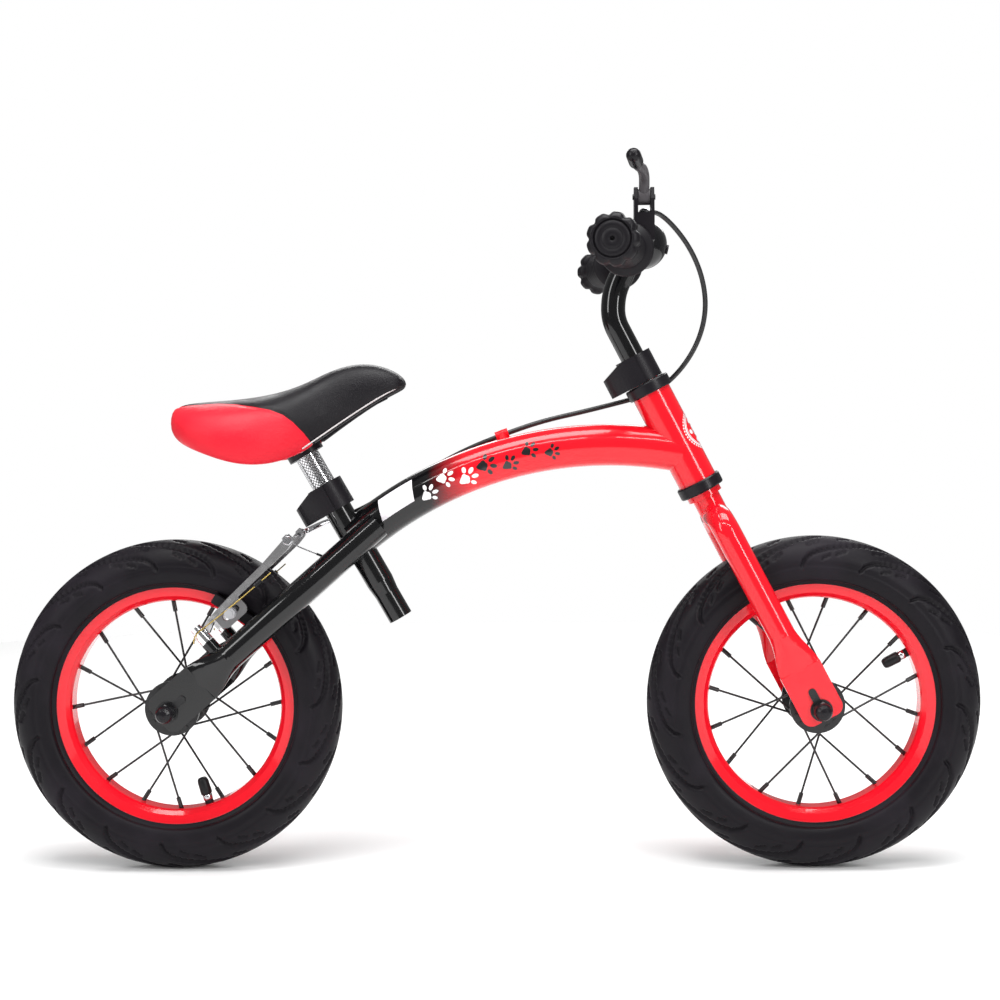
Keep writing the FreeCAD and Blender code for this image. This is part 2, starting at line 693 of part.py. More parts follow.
# Brake lever, on the right of the bar ------------------------------------------------------------

clamp_at = bar_spot(lever_clamp_y)
lever_pivot = clamp_at + V(14.0, 0, 46.0)
cheek_gap = 11.0
cheek_t = 3.2
ring_half = bar_way * 8.0
ring = rod(clamp_at - ring_half, clamp_at + ring_half, bar_r + 5.0)
tower = []
for low_x in (-cheek_gap / 2 - cheek_t, cheek_gap / 2):
    outline = [V(low_x - 5, -10, -36), V(low_x - 5, 10, -36), V(low_x, 9, -2), V(low_x, 5, 8),
               V(low_x, -5, 8), V(low_x, -9, -2)]
    wedge = polygon_face([V(low_x, p.y, p.z) for p in outline]).extrude(V(cheek_t, 0, 0))
    tower.append(wedge)
web = Part.makeBox(cheek_gap + 2 * cheek_t, 20, 24, V(-cheek_gap / 2 - cheek_t, -10, -38))
tower.append(web)
foot = Part.makeBox(24, 18, 16, V(-24, -9, -38))
tower = [place(shape, lever_pivot, V(0, 0, 1), V(1, 0, 0)) for shape in tower + [foot]]
pin_bore = rod(lever_pivot - V(20, 0, 0), lever_pivot + V(20, 0, 0), 2.5 + running_gap)
bar_bore = rod(clamp_at - bar_way * 30, clamp_at + bar_way * 30, bar_r + running_gap)
bracket = ring.fuse(tower).cut([pin_bore, bar_bore])
save("brake_lever_body", bracket)
pin_half = cheek_gap / 2 + cheek_t + 1.2
save("brake_lever_pin", rod(lever_pivot - V(pin_half, 0, 0), lever_pivot + V(pin_half, 0, 0), 2.5))

blade_points = [lever_pivot, lever_pivot + V(0, -9, 16), lever_pivot + V(-3, -34, 20),
                lever_pivot + V(-9, -60, 20), lever_pivot + V(-13, -80, 25)]
blade_half = cheek_gap / 2 - free_gap
blade = pipe(route(blade_points), 4.6)
root = rod(lever_pivot - V(blade_half, 0, 0), lever_pivot + V(blade_half, 0, 0), 7.0)
sleeve_start = blade_points[-1] - unit(blade_points[-1] - blade_points[-2]) * 14
sleeve = rod(sleeve_start, blade_points[-1], sleeve_r)
sleeve = sleeve.fuse([Part.makeSphere(sleeve_r, sleeve_start), Part.makeSphere(sleeve_r, blade_points[-1])])
blade = blade.fuse([root, sleeve])
save("brake_lever_blade", blade.cut(rod(lever_pivot - V(20, 0, 0), lever_pivot + V(20, 0, 0),
                                        2.5 + running_gap)))
adjuster_start = lever_pivot + V(0, 10.0, -14)
adjuster_way = unit(V(0.35, 1, 0.22))
adjuster_end = adjuster_start + adjuster_way * 15
adjuster = rod(adjuster_start, adjuster_end, 3.4)
adjuster = adjuster.fuse(rod(adjuster_start + adjuster_way * 3, adjuster_start + adjuster_way * 9, 5.2))
save("barrel_adjuster", adjuster.cut(bracket))

# Bell, on the left of the bar --------------------------------------------------------------------

bell_way = unit(V(0.978, 0, -0.208))
bell_centre = bar_spot(bell_y) + V(17.8, 0, 16.8)
left_way = V(bar_way.x, -bar_way.y, 0)
bell_ring = rod(bar_spot(bell_y) - left_way * 7, bar_spot(bell_y) + left_way * 7, bar_r + 2.4)
plate = rod(bell_centre - bell_way * 10, bell_centre - bell_way * 4, 17.5)
stem_end = bell_centre + bell_way * (bell_r - 0.2)
stem = rod(bell_centre - bell_way * 6, stem_end, 3.0)
stem = stem.fuse(rod(stem_end, stem_end + bell_way * 1.8, 4.5))
neck = rod(bar_spot(bell_y), bell_centre - bell_way * 8, 6.5)
bell_bore = rod(bar_spot(bell_y) - left_way * 20, bar_spot(bell_y) + left_way * 20, bar_r + running_gap)
save("bell_base", bell_ring.fuse([plate, stem, neck]).cut(bell_bore))

dome = Part.makeSphere(bell_r, bell_centre).cut(Part.makeSphere(bell_r - 1.3, bell_centre))
behind = rod(bell_centre - bell_way * 60, bell_centre, 60)
stem_hole = rod(bell_centre, bell_centre + bell_way * 40, 3.0 + running_gap)
save("bell_dome", dome.cut([behind, stem_hole, rod(stem_end, stem_end + bell_way * 9, 4.7)]))

bell_up = unit(V(0.208, 0, 0.978))
thumb_pivot = bell_centre - bell_way * 3.4 + bell_up * 9
thumb = rod(thumb_pivot, thumb_pivot + bell_way * 2.6, 3.6)
arm = Part.makeBox(5.0, 19.0, 2.4, V(-2.5, 0, 0))
arm = place(arm, thumb_pivot + bell_way * 0.1, bell_way, bell_up.cross(bell_way))
tab = rod(thumb_pivot + bell_up * 19 - V(0, 6, 0), thumb_pivot + bell_up * 19 + V(0, 6, 0), 3.0)
tab = tab.common(rod(thumb_pivot + bell_way * -6, thumb_pivot + bell_way * 3.2, 40))
save("bell_lever", thumb.fuse([arm, tab]))


# Rim brake --------------------------------------------------------------------------------------

pad_r = rim_flange_r - 6.5
pad_angle = 15.9
pad_dir = unit(stay_up * math.cos(math.radians(pad_angle)) + stay_back * math.sin(math.radians(pad_angle)))
pad_along = unit(side_axis.cross(pad_dir))
boss_low = 9.0
boss_high = 23.0
barrel_high = 35.0
right_stay_shape = frame_stay(-1)
boss_base = stay(arm_pivot_along, boss_low, -arm_pivot_out)
boss_top = stay(arm_pivot_along, boss_high, -arm_pivot_out)
stud_top = stay(arm_pivot_along, barrel_high + 1, -arm_pivot_out)
boss = rod(boss_base, boss_top, 6.5).cut(right_stay_shape)
boss = max(boss.Solids, key=lambda s: s.Volume).fuse(rod(boss_top, stud_top, pivot_r))
save("brake_bosses", both_sides(boss))

bolt_head = rod(stud_top, stud_top + stay_back * 4.0, 5.0)
save("brake_pivot_bolts", both_sides(bolt_head))


def brake_arm():
    """The right arm: a barrel on the pivot stud, a long bar and a slotted tongue for the pad."""
    low_y = -arm_pivot_out + 1.0
    barrel = rod(boss_top + stay_back * free_gap, stud_top - stay_back * 1.0, 6.5)
    top = arm_pivot_along + arm_length
    side_view = [(arm_pivot_along - 3, 27.0), (arm_pivot_along + 6, 28.0), (88, 34.0), (112, 35.0),
                 (150, 36.0), (top - 10, 37.0), (top, 39.0), (top, 47.0), (top - 9, 46.0),
                 (150, 42.5), (112, 40.8), (84, 38.5), (arm_pivot_along + 2, 34.8),
                 (arm_pivot_along - 3, 34.5)]
    bar = polygon_face([stay(a, b, low_y) for a, b in side_view]).extrude(V(0, arm_t, 0))
    tongue_y = low_y + arm_t
    centre = (pad_centre().dot(stay_up) - rear_axle.dot(stay_up),
              pad_centre().dot(stay_back) - rear_axle.dot(stay_back))
    tongue = Part.makeBox(30, 18, 4.0, V(-15, -9, 0))
    slot = Part.makeBox(12, 6.4, 6.0, V(-6, -3.2, -1))
    slot = slot.fuse([rod(V(s * 6, 0, -1), V(s * 6, 0, 5), 3.2) for s in (-1, 1)])
    upright = [e for e in tongue.Edges if abs(e.CenterOfMass.z - 2.0) < 0.01]
    tongue = tongue.makeFillet(6.0, upright).cut(slot)
    tongue = place(tongue, stay(centre[0], centre[1], tongue_y - 4.0), side_axis, stay_up)
    stud = rod(boss_top, stud_top + stay_back * 5, pivot_r + running_gap)
    return bar.fuse([barrel, tongue]).cut(stud), tongue_y


def pad_centre():
    return rear_axle + pad_dir * pad_r


def brake_pad(tongue_y):
    """Rubber block in its holder, with the bolt, washers and nut that hold it in the tongue."""
    centre = pad_centre()
    face_y = -(rim_half_width + pad_gap)
    block = Part.makeBox(44, 9, 10, V(-22, -4.5, 0))
    block = block.makeFillet(2.0, [e for e in block.Edges if abs(e.CenterOfMass.z - 5) < 0.01])
    block = place(block, V(centre.x, face_y, centre.z), side_axis * -1, pad_along)
    back_y = face_y - 10
    at = lambda y: V(centre.x, y, centre.z)
    tongue_out = tongue_y - 4.0
    stud = rod(at(back_y), at(tongue_out - 8), 2.9)
    inner_washer = hollow(at(back_y), at(tongue_y), 5.3, 2.9)
    outer_washer = hollow(at(tongue_out), at(tongue_out - 2.5), 5.3, 2.9)
    nut = hollow(at(tongue_out - 2.5), at(tongue_out - 7), 4.8, 2.9)
    return Part.makeCompound([block, stud, inner_washer, outer_washer, nut])


right_arm, tongue_y = brake_arm()
arm_top = arm_pivot_along + arm_length - 4.0
cradle_back = 43.0
wire_line = [stay(arm_top, cradle_back, y) for y in (-arm_pivot_out - 2, arm_pivot_out - 14)]
left_arm = right_arm.mirror(origin, side_axis)
noodle_r = 2.8
noodle_points = [stay(arm_top, cradle_back, arm_pivot_out - 13), stay(arm_top, cradle_back, arm_pivot_out + 13),
                 stay(arm_top + 20, cradle_back - 6, arm_pivot_out + 4),
                 stay(arm_top + 33, cradle_back - 11, arm_pivot_out - 9)]
noodle_line = route(noodle_points, "noodle")
noodle = pipe(noodle_line, noodle_r).cut(pipe(noodle_line, 2.0))
noodle_hole = rod(stay(arm_top, cradle_back, 10), stay(arm_top, cradle_back, 60), noodle_r + 0.02)
wire_hole = rod(wire_line[0] - V(0, 3, 0), wire_line[1], wire_r + 0.3)
save("right_brake_arm", right_arm.cut(wire_hole))
save("left_brake_arm", left_arm.cut(noodle_hole))
right_pad = brake_pad(tongue_y)
save("right_brake_pad", right_pad)
save("left_brake_pad", right_pad.mirror(origin, side_axis))
save("cable_noodle", noodle)
save("brake_wire", rod(wire_line[0], wire_line[1], wire_r))

# Brake cable ------------------------------------------------------------------------------------

clip_point = V(9.0, 8.5, 399.0)
housing_start = noodle_points[-1] + unit(noodle_points[-1] - noodle_points[-2]) * 1.0
before_head = V(88.0, 22.0, 420.5)
beside_head = V(150.0, 27.5, 436.0)
behind_head = (before_head + beside_head) * 0.5
rear_points = [housing_start, V(-133.0, 26.0, 326.0), V(-111.0, 21.5, 337.0), V(-84.0, 19.5, 353.5),
               V(-55.0, 17.0, 369.5), V(-24.0, 12.5, 386.0), clip_point, V(46.0, 16.0, 411.5),
               before_head, behind_head]
housing_end = adjuster_end + adjuster_way * 0.6
front_points = [behind_head, beside_head, V(173.0, 26.0, 455.0), V(190.0, 21.0, 481.0),
                V(197.5, 15.0, 510.0), V(194.5, 9.0, 539.0), V(183.0, 1.0, 566.0),
                V(165.0, -12.0, 588.0), housing_end + adjuster_way * 22, housing_end]
rear_line = route(rear_points, "rear cable")
front_line = route(front_points, "front cable")
for name, line in (("rear_cable", rear_line), ("front_cable", front_line)):
    housing = pipe(line, cable_r)
    section = math.pi * cable_r ** 2
    print(name, "length", round(line.Length, 1), "volume ratio",
          round(housing.Volume / (section * line.Length), 4))
    save(name, housing)

clip_way = unit(rear_points[7] - rear_points[5])
clip_ring = rod(clip_point - clip_way * 6, clip_point + clip_way * 6, cable_r + 2.4)
arc_centre = main_line.Edges[0].Curve.Center
tube_spot = arc_centre + unit(V(clip_point.x, 0, clip_point.z) - arc_centre) * main_line.Edges[0].Curve.Radius
clip_foot = rod(tube_spot, clip_point, 5.0)
clip = clip_ring.fuse(clip_foot).cut([main_outside, pipe(rear_line, cable_r + fit_gap)])
save("cable_clip", max(clip.Solids, key=lambda s: s.Volume))

wheel("rear", rear_axle, stay_up, rear_lacing_angle, rear_valve_angle)
wheel("front", front_axle, steer_up, front_lacing_angle, front_valve_angle)
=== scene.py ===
import math

import bmesh
import bpy
import numpy as np
from mathutils import Matrix, Vector


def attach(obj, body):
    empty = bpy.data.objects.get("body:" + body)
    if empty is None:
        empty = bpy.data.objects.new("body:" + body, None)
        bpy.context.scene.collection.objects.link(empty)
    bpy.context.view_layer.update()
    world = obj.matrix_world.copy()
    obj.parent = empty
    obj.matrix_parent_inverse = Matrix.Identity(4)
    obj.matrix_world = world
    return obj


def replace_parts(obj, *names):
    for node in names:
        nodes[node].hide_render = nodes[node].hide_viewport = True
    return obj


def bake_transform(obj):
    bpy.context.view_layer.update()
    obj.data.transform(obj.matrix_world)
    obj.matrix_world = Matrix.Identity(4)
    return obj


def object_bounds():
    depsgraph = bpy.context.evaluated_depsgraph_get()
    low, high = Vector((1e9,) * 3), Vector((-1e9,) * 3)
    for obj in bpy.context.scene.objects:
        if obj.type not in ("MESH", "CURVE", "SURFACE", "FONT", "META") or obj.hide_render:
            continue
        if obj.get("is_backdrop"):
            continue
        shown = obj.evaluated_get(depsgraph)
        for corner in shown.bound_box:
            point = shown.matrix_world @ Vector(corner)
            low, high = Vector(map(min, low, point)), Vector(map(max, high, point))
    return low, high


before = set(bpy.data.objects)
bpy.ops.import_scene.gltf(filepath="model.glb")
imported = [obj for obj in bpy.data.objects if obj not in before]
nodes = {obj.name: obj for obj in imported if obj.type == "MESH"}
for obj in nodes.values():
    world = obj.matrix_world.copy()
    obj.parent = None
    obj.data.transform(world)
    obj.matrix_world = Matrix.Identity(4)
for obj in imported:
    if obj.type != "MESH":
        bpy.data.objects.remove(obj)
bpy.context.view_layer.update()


# Studio -------------------------------------------------------------------------------------------
# A seamless pale floor under soft boxes, seen from the bike's right side a little above the hubs.

camera_spot = Vector((0.04555, -1.64572, 0.42104))
yaw, pitch, roll = math.radians(-1.35), math.radians(2.84), math.radians(0.46)
ahead = Vector((math.sin(yaw) * math.cos(pitch), math.cos(yaw) * math.cos(pitch), -math.sin(pitch)))
level = Vector((math.cos(yaw), -math.sin(yaw), 0))
down = ahead.cross(level)
across = level * math.cos(roll) + down * math.sin(roll)
upright = level * math.sin(roll) - down * math.cos(roll)

camera = bpy.data.objects.new("camera", bpy.data.cameras.new("camera"))
camera.data.sensor_width = 36.0
camera.data.lens = 64.62
turned = Matrix((across, upright, -ahead)).transposed().to_4x4()
camera.matrix_world = Matrix.Translation(camera_spot) @ turned
bpy.context.scene.collection.objects.link(camera)
bpy.context.scene.camera = camera
bpy.context.scene.view_settings.view_transform = "Standard"

world = bpy.data.worlds.new("studio")
world.use_nodes = True
sky = world.node_tree.nodes["Background"]
sky.inputs["Color"].default_value = (1, 1, 1, 1)
seen_directly = world.node_tree.nodes.new("ShaderNodeLightPath").outputs["Is Camera Ray"]
strength = world.node_tree.nodes.new("ShaderNodeMapRange")
strength.inputs["To Min"].default_value = 0.22
strength.inputs["To Max"].default_value = 1.0
world.node_tree.links.new(seen_directly, strength.inputs["Value"])
world.node_tree.links.new(strength.outputs[0], sky.inputs["Strength"])
bpy.context.scene.world = world


def soft_box(name, spot, aim, size, power):
    """An area light of a size in metres, turned towards a point on the bike."""
    lamp = bpy.data.objects.new(name, bpy.data.lights.new(name, "AREA"))
    lamp.data.shape = "RECTANGLE"
    lamp.data.size, lamp.data.size_y = size
    lamp.data.energy = power
    lamp.location = spot
    lamp.rotation_euler = (Vector(aim) - Vector(spot)).to_track_quat("-Z", "Y").to_euler()
    bpy.context.scene.collection.objects.link(lamp)


soft_box("top_box", (0.1, -0.4, 2.4), (0, 0, 0.3), (2.2, 1.0), 58)
soft_box("front_box", (1.6, -1.8, 1.1), (0.1, 0, 0.3), (0.35, 1.5), 22)
soft_box("rear_box", (-1.9, -1.5, 1.2), (-0.1, 0, 0.3), (0.5, 1.5), 18)
soft_box("strip_box", (0.1, -1.7, 2.1), (0, 0, 0.35), (2.6, 0.10), 20)
soft_box("back_box", (0.2, 2.4, 1.8), (0, 0, 0.3), (2.4, 1.0), 34)

floor_mesh = bmesh.new()
bmesh.ops.create_circle(floor_mesh, cap_ends=True, segments=128, radius=1.9)
floor = bpy.data.objects.new("floor", bpy.data.meshes.new("floor"))
floor_mesh.to_mesh(floor.data)
floor_mesh.free()
bpy.context.scene.collection.objects.link(floor)
paper = bpy.data.materials.new("white_paper")
paper.use_nodes = True
paper.node_tree.nodes["Principled BSDF"].inputs["Base Color"].default_value = (0.93, 0.93, 0.93, 1)
paper.node_tree.nodes["Principled BSDF"].inputs["Roughness"].default_value = 0.9
floor.data.materials.append(paper)
floor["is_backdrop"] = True


# Brake cable --------------------------------------------------------------------------------------
# A steel wire in a black plastic housing. It runs from the brake's bent pipe up along the main tube,
# under a clip, past the head and round in front of the bars to the lever.

class Value:
    """A shader socket that is used like a number."""

    def __init__(self, finish, socket):
        self.finish = finish
        self.socket = socket

    def math(self, operation, *others):
        made = self.finish.node("ShaderNodeMath", {"operation": operation})
        for k, other in enumerate((self, *others)):
            self.finish.feed(made.inputs[k], other)
        return Value(self.finish, made.outputs[0])

    def __add__(self, other):
        return self.math("ADD", other)

    def __mul__(self, other):
        return self.math("MULTIPLY", other)

    def __sub__(self, other):
        return self.math("SUBTRACT", other)

    def __rsub__(self, other):
        return (self * -1) + other

    def __pow__(self, other):
        return self.math("POWER", other)

    __radd__ = __add__
    __rmul__ = __mul__


class Finish:
    """A surface finish: one Principled shader and the nodes that vary it."""

    def __init__(self, name, colour, roughness, **fixed):
        self.material = bpy.data.materials.new(name)
        self.material.use_nodes = True
        self.tree = self.material.node_tree
        self.shader = self.tree.nodes["Principled BSDF"]
        self.set("Base Color", (*colour, 1))
        self.set("Roughness", roughness)
        for socket, value in fixed.items():
            self.set(socket.replace("_", " "), value)
        self.place = Value(self, self.node("ShaderNodeTexCoord").outputs["Object"])

    def node(self, kind, settings=None, sockets=None):
        made = self.tree.nodes.new(kind)
        for key, value in (settings or {}).items():
            if key == "stops":
                self.fill_ramp(made.color_ramp.elements, value)
            else:
                setattr(made, key, value)
        for key, value in (sockets or {}).items():
            self.feed(made.inputs[key], value)
        return made

    def fill_ramp(self, elements, stops):
        while len(elements) < len(stops):
            elements.new(0.5)
        for element, (position, grey) in zip(elements, stops):
            element.position = position
            element.color = (grey, grey, grey, 1)

    def feed(self, socket, value):
        if isinstance(value, Value):
            self.tree.links.new(value.socket, socket)
        else:
            socket.default_value = value

    def set(self, socket, value):
        self.feed(self.shader.inputs[socket], value)

    def noise(self, scale, detail=3.0, place=None):
        made = self.node("ShaderNodeTexNoise", None, {"Vector": place or self.place, "Scale": scale,
                                                      "Detail": detail})
        return Value(self, made.outputs[0])

    def range(self, value, low, high, start=0.0, end=1.0):
        made = self.node("ShaderNodeMapRange", {"interpolation_type": "SMOOTHSTEP"}, {
            "Value": value, "From Min": low, "From Max": high, "To Min": start, "To Max": end})
        return Value(self, made.outputs[0])

    def mix(self, share, first, second):
        made = self.node("ShaderNodeMix", {"data_type": "RGBA"})
        for socket, value in zip((made.inputs[0], made.inputs[6], made.inputs[7]), (share, first, second)):
            self.feed(socket, value if isinstance(value, (Value, float)) else (*value, 1))
        return Value(self, made.outputs[2])

    def axes(self):
        made = self.node("ShaderNodeSeparateXYZ", None, {"Vector": self.place})
        return [Value(self, socket) for socket in made.outputs]

    def bump(self, height, distance, strength=1.0):
        made = self.node("ShaderNodeBump", None, {"Height": height, "Distance": distance,
                                                  "Strength": strength})
        self.set("Normal", Value(self, made.outputs[0]))


def dress(finish, *names):
    """Gives the finish to carried-over nodes of the frame."""
    for name in names:
        nodes[name].data.materials.clear()
        nodes[name].data.materials.append(finish.material)


def fittings(finish, name, body, mesh, smooth=True):
    """Turns a bmesh into a piece with a finish that moves with a body."""
    bmesh.ops.recalc_face_normals(mesh, faces=mesh.faces)
    piece = bpy.data.objects.new(name, bpy.data.meshes.new(name))
    mesh.to_mesh(piece.data)
    mesh.free()
    for face in piece.data.polygons:
        face.use_smooth = smooth
    piece.data.materials.append(finish.material)
    bpy.context.scene.collection.objects.link(piece)
    if body:
        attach(piece, body)
    return piece


housing = Finish("cable_housing", (0.012, 0.012, 0.013), 0.34)
housing.set("Roughness", housing.range(housing.noise(90.0), 0.3, 0.7, 0.26, 0.44))
housing.bump(housing.noise(700.0), 0.00006)

cable_r = 0.0023


def swept(finish, name, points, radius, body=None):
    """A round wire or housing swept along one smooth spline through the points' run."""
    curve = bpy.data.curves.new(name, "CURVE")
    curve.dimensions = "3D"
    spline = curve.splines.new("NURBS")
    spline.points.add(len(points) - 1)
    for spot, point in zip(spline.points, points):
        spot.co = (*point, 1)
    spline.order_u = 3
    spline.use_endpoint_u = True
    spline.resolution_u = 10
    curve.bevel_depth = radius
    curve.bevel_resolution = 4
    curve.use_fill_caps = True
    made = bpy.data.objects.new(name, curve)
    bpy.context.scene.collection.objects.link(made)
    bpy.context.view_layer.update()
    mesh = bpy.data.meshes.new_from_object(made.evaluated_get(bpy.context.evaluated_depsgraph_get()))
    bpy.data.objects.remove(made)
    for face in mesh.polygons:
        face.use_smooth = True
    mesh.materials.clear()
    mesh.materials.append(finish.material)
    piece = bpy.data.objects.new(name, mesh)
    bpy.context.scene.collection.objects.link(piece)
    if body:
        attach(piece, body)
    return piece


behind_head = Vector((0.119, 0.02475, 0.42825))
lever_pivot = Vector((0.13579, -0.070, 0.606))
adjuster_way = Vector((0.35, 1, 0.22)).normalized()
housing_end = lever_pivot + Vector((0, 0.010, -0.014)) + adjuster_way * 0.0156
rear_run = [(-0.1504, 0.0355, 0.3201), (-0.133, 0.026, 0.326), (-0.111, 0.0215, 0.337),
            (-0.084, 0.0195, 0.3535), (-0.055, 0.017, 0.3695), (-0.024, 0.0125, 0.386),
            (0.009, 0.0085, 0.399), (0.046, 0.016, 0.4115), (0.088, 0.022, 0.4205), behind_head]
lower_run = [behind_head, (0.150, 0.0275, 0.436), (0.173, 0.026, 0.455), (0.190, 0.021, 0.481),
             (0.1975, 0.015, 0.510), (0.1945, 0.009, 0.539), (0.183, 0.001, 0.566),
             (0.165, -0.012, 0.588), housing_end + adjuster_way * 0.022, housing_end]
rear_cable = swept(housing, "rear_cable_housing", rear_run, cable_r)
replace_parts(rear_cable, "rear_cable")
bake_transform(rear_cable)
front_cable = swept(housing, "front_cable_housing", lower_run, cable_r)
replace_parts(front_cable, "front_cable")
foremost = Vector((0.1975, 0.015, 0.510))


def part_above(piece, height, keep_above):
    """Cuts the cable's mesh level at a height and keeps one side of it, open at the cut."""
    mesh = bmesh.new()
    mesh.from_mesh(piece.data)
    whole = mesh.verts[:] + mesh.edges[:] + mesh.faces[:]
    bmesh.ops.bisect_plane(mesh, geom=whole, plane_co=(0, 0, height), plane_no=(0, 0, 1),
                           clear_outer=not keep_above, clear_inner=keep_above)
    mesh.to_mesh(piece.data)
    mesh.free()


upper_cable = bpy.data.objects.new("front_cable_upper", front_cable.data.copy())
bpy.context.scene.collection.objects.link(upper_cable)
part_above(front_cable, foremost.z, False)
part_above(upper_cable, foremost.z, True)
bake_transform(front_cable)
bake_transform(upper_cable)


# Main tube ----------------------------------------------------------------------------------------
# One fat arched steel tube, sprayed gloss black at the seat and faded into red, under clear lacquer.

black_paint = (0.0035, 0.0035, 0.004)
red_paint = (0.80, 0.0055, 0.016)


def lacquer(name, colour):
    """Gloss paint: slight orange peel and faint handling marks."""
    made = Finish(name, colour, 0.2, Coat_Weight=0.6, Coat_Roughness=0.03, Specular_IOR_Level=0.22)
    marks = made.noise(14.0, 5.0)
    made.set("Roughness", made.range(marks, 0.35, 0.75, 0.12, 0.24))
    made.bump(made.noise(420.0, 1.0), 0.00003)
    return made


fade = lacquer("faded_paint", red_paint)
along = fade.axes()[0] + (fade.noise(60.0, 4.0) - 0.5) * 0.012
drift = fade.noise(2500.0, 1.0) * 0.25 - 0.125
spray = fade.range(along * 20 + drift, -0.060 * 20, -0.010 * 20)
fade.set("Base Color", fade.mix(spray, black_paint, red_paint))
dress(fade, "main_tube")

arch_centre = Vector((0.1047, 0, 0.0321))
arch_r = 0.3570
main_tube_r = 0.0190


def on_main_tube(degrees, off, side, lift):
    """A spot on the main tube's side: degrees round its arch and metres off its middle line."""
    rise = math.radians(degrees)
    out = Vector((math.cos(rise), 0, math.sin(rise)))
    radius = main_tube_r + lift
    turn = off / main_tube_r
    outward = Vector((0, side * radius * math.cos(turn), 0))
    return arch_centre + out * (arch_r + radius * math.sin(turn)) + outward


def print_oval(mesh, degrees, off, long, wide, lean, side, lift=0.00012):
    """One oval of film stuck on the tube."""
    made = bmesh.ops.create_circle(mesh, cap_ends=True, cap_tris=True, segments=20, radius=1.0)["verts"]
    for vert in made:
        x, y = vert.co.x * long, vert.co.y * wide
        u = x * math.cos(lean) - y * math.sin(lean)
        v = x * math.sin(lean) + y * math.cos(lean)
        vert.co = on_main_tube(degrees - math.degrees(u / arch_r), off + v, side, lift)


def paw(mesh, degrees, off, size, lean, side):
    """A pad and four toes, which point forward and upward by the lean."""
    for forward, up, long, wide, turn in (
            (-0.17, 0.00, 0.25, 0.20, 0.0), (-0.30, 0.00, 0.17, 0.13, 0.0), (-0.13, 0.13, 0.14, 0.12, 0.9),
            (-0.13, -0.13, 0.14, 0.12, -0.9), (0.05, 0.40, 0.15, 0.10, 1.15), (0.32, 0.20, 0.17, 0.10, 0.45),
            (0.34, -0.13, 0.17, 0.10, -0.35), (0.10, -0.38, 0.15, 0.10, -1.1)):
        u = (forward * math.cos(lean) - up * math.sin(lean)) * size
        v = (forward * math.sin(lean) + up * math.cos(lean)) * size
        print_oval(mesh, degrees - math.degrees(u / arch_r), off + v, long * size, wide * size,
                   lean + turn, side)


paw_size = 0.0170
white_film = Finish("white_film", (0.90, 0.89, 0.90), 0.3, Coat_Weight=0.5, Coat_Roughness=0.05)
white_film.bump(white_film.noise(500.0, 2.0), 0.00002)
black_film = Finish("black_film", (0.006, 0.006, 0.007), 0.3, Coat_Weight=0.5, Coat_Roughness=0.05)
black_film.bump(black_film.noise(500.0, 2.0), 0.00002)
for film, name, spots in (
        (white_film, "white_paw_prints", ((117.27, -0.0036, 1.0, 0.25), (114.15, 0.0031, 1.0, -0.25),
                                          (111.05, -0.0048, 1.12, 0.25))),
        (black_film, "black_paw_prints", ((107.91, 0.0004, 1.12, -0.05), (104.51, -0.0050, 0.95, 0.3),
                                          (101.33, 0.0034, 0.95, 0.25), (98.1, -0.0021, 0.85, -0.05)))):
    prints = bmesh.new()
    for side in (-1, 1):
        for degrees, off, size, lean in spots:
            paw(prints, degrees, off, paw_size * size, lean, side)
    fittings(film, name, "frame", prints)

label = bmesh.new()
label_cells = bmesh.ops.create_grid(label, x_segments=24, y_segments=10, size=0.5)["verts"]
for vert in label_cells:
    slant = vert.co.y * 1.1
    vert.co = on_main_tube(121.9 - vert.co.x * 5.6 - slant, 0.0075 + vert.co.y * 0.0205, -1, 0.00015)
paper_label = Finish("blank_label", (0.80, 0.76, 0.80), 0.45)
paper_label.set("Base Color", paper_label.mix(paper_label.noise(80.0), (0.76, 0.72, 0.77),
                                              (0.86, 0.83, 0.86)))
paper_label.bump(paper_label.noise(300.0), 0.00003)
fittings(paper_label, "blank_label", "frame", label)


# Head tube, seat tube, stays and fork -------------------------------------------------------------
# Round steel tubes, mitred and fillet-welded, then painted. The stays and fork legs are pressed flat
# at their ends for the axles.

red_lacquer = lacquer("red_paint", red_paint)
black_lacquer = lacquer("black_paint", black_paint)
dress(red_lacquer, "head_tube", "fork_steerer", "right_fork_leg", "left_fork_leg")
dress(black_lacquer, "seat_tube", "right_stay", "left_stay", "handlebar", "handlebar_post", "brake_bosses")

wheelbase = 0.586
axle_height = 0.1525
steer_up = Vector((-0.4602, 0, 0.8878))
steer_ahead = Vector((0.8878, 0, 0.4602))
stay_up = Vector((0.7508, 0, 0.6606))
stay_back = Vector((-0.6606, 0, 0.7508))
side_way = Vector((0, 1, 0))
rear_axle = Vector((-wheelbase / 2, 0, axle_height))
front_axle = Vector((wheelbase / 2, 0, axle_height))


def steer(up, forward=0.0, y=0.0):
    """A spot measured up the steering axis from the front axle's height, forward of it and sideways."""
    return front_axle + steer_up * up + steer_ahead * forward + side_way * y


def stay(up, back, y=0.0):
    """A spot measured up along the stays from the rear axle, behind them and sideways."""
    return rear_axle + stay_up * up + stay_back * back + side_way * y


# Headset cups and clip ----------------------------------------------------------------------------
# Pressed black cups at both ends of the head tube, and a moulded red clip that holds the cable.

def moulded(name, colour, rough=0.42, grain=900.0):
    """Moulded plastic: fine spark-eroded grain, slightly shinier where hands rub it."""
    made = Finish(name, colour, rough, Specular_IOR_Level=0.22)
    made.set("Roughness", made.range(made.noise(30.0, 4.0), 0.3, 0.7, rough - 0.07, rough + 0.08))
    made.bump(made.noise(grain, 2.0), 0.00004)
    return made


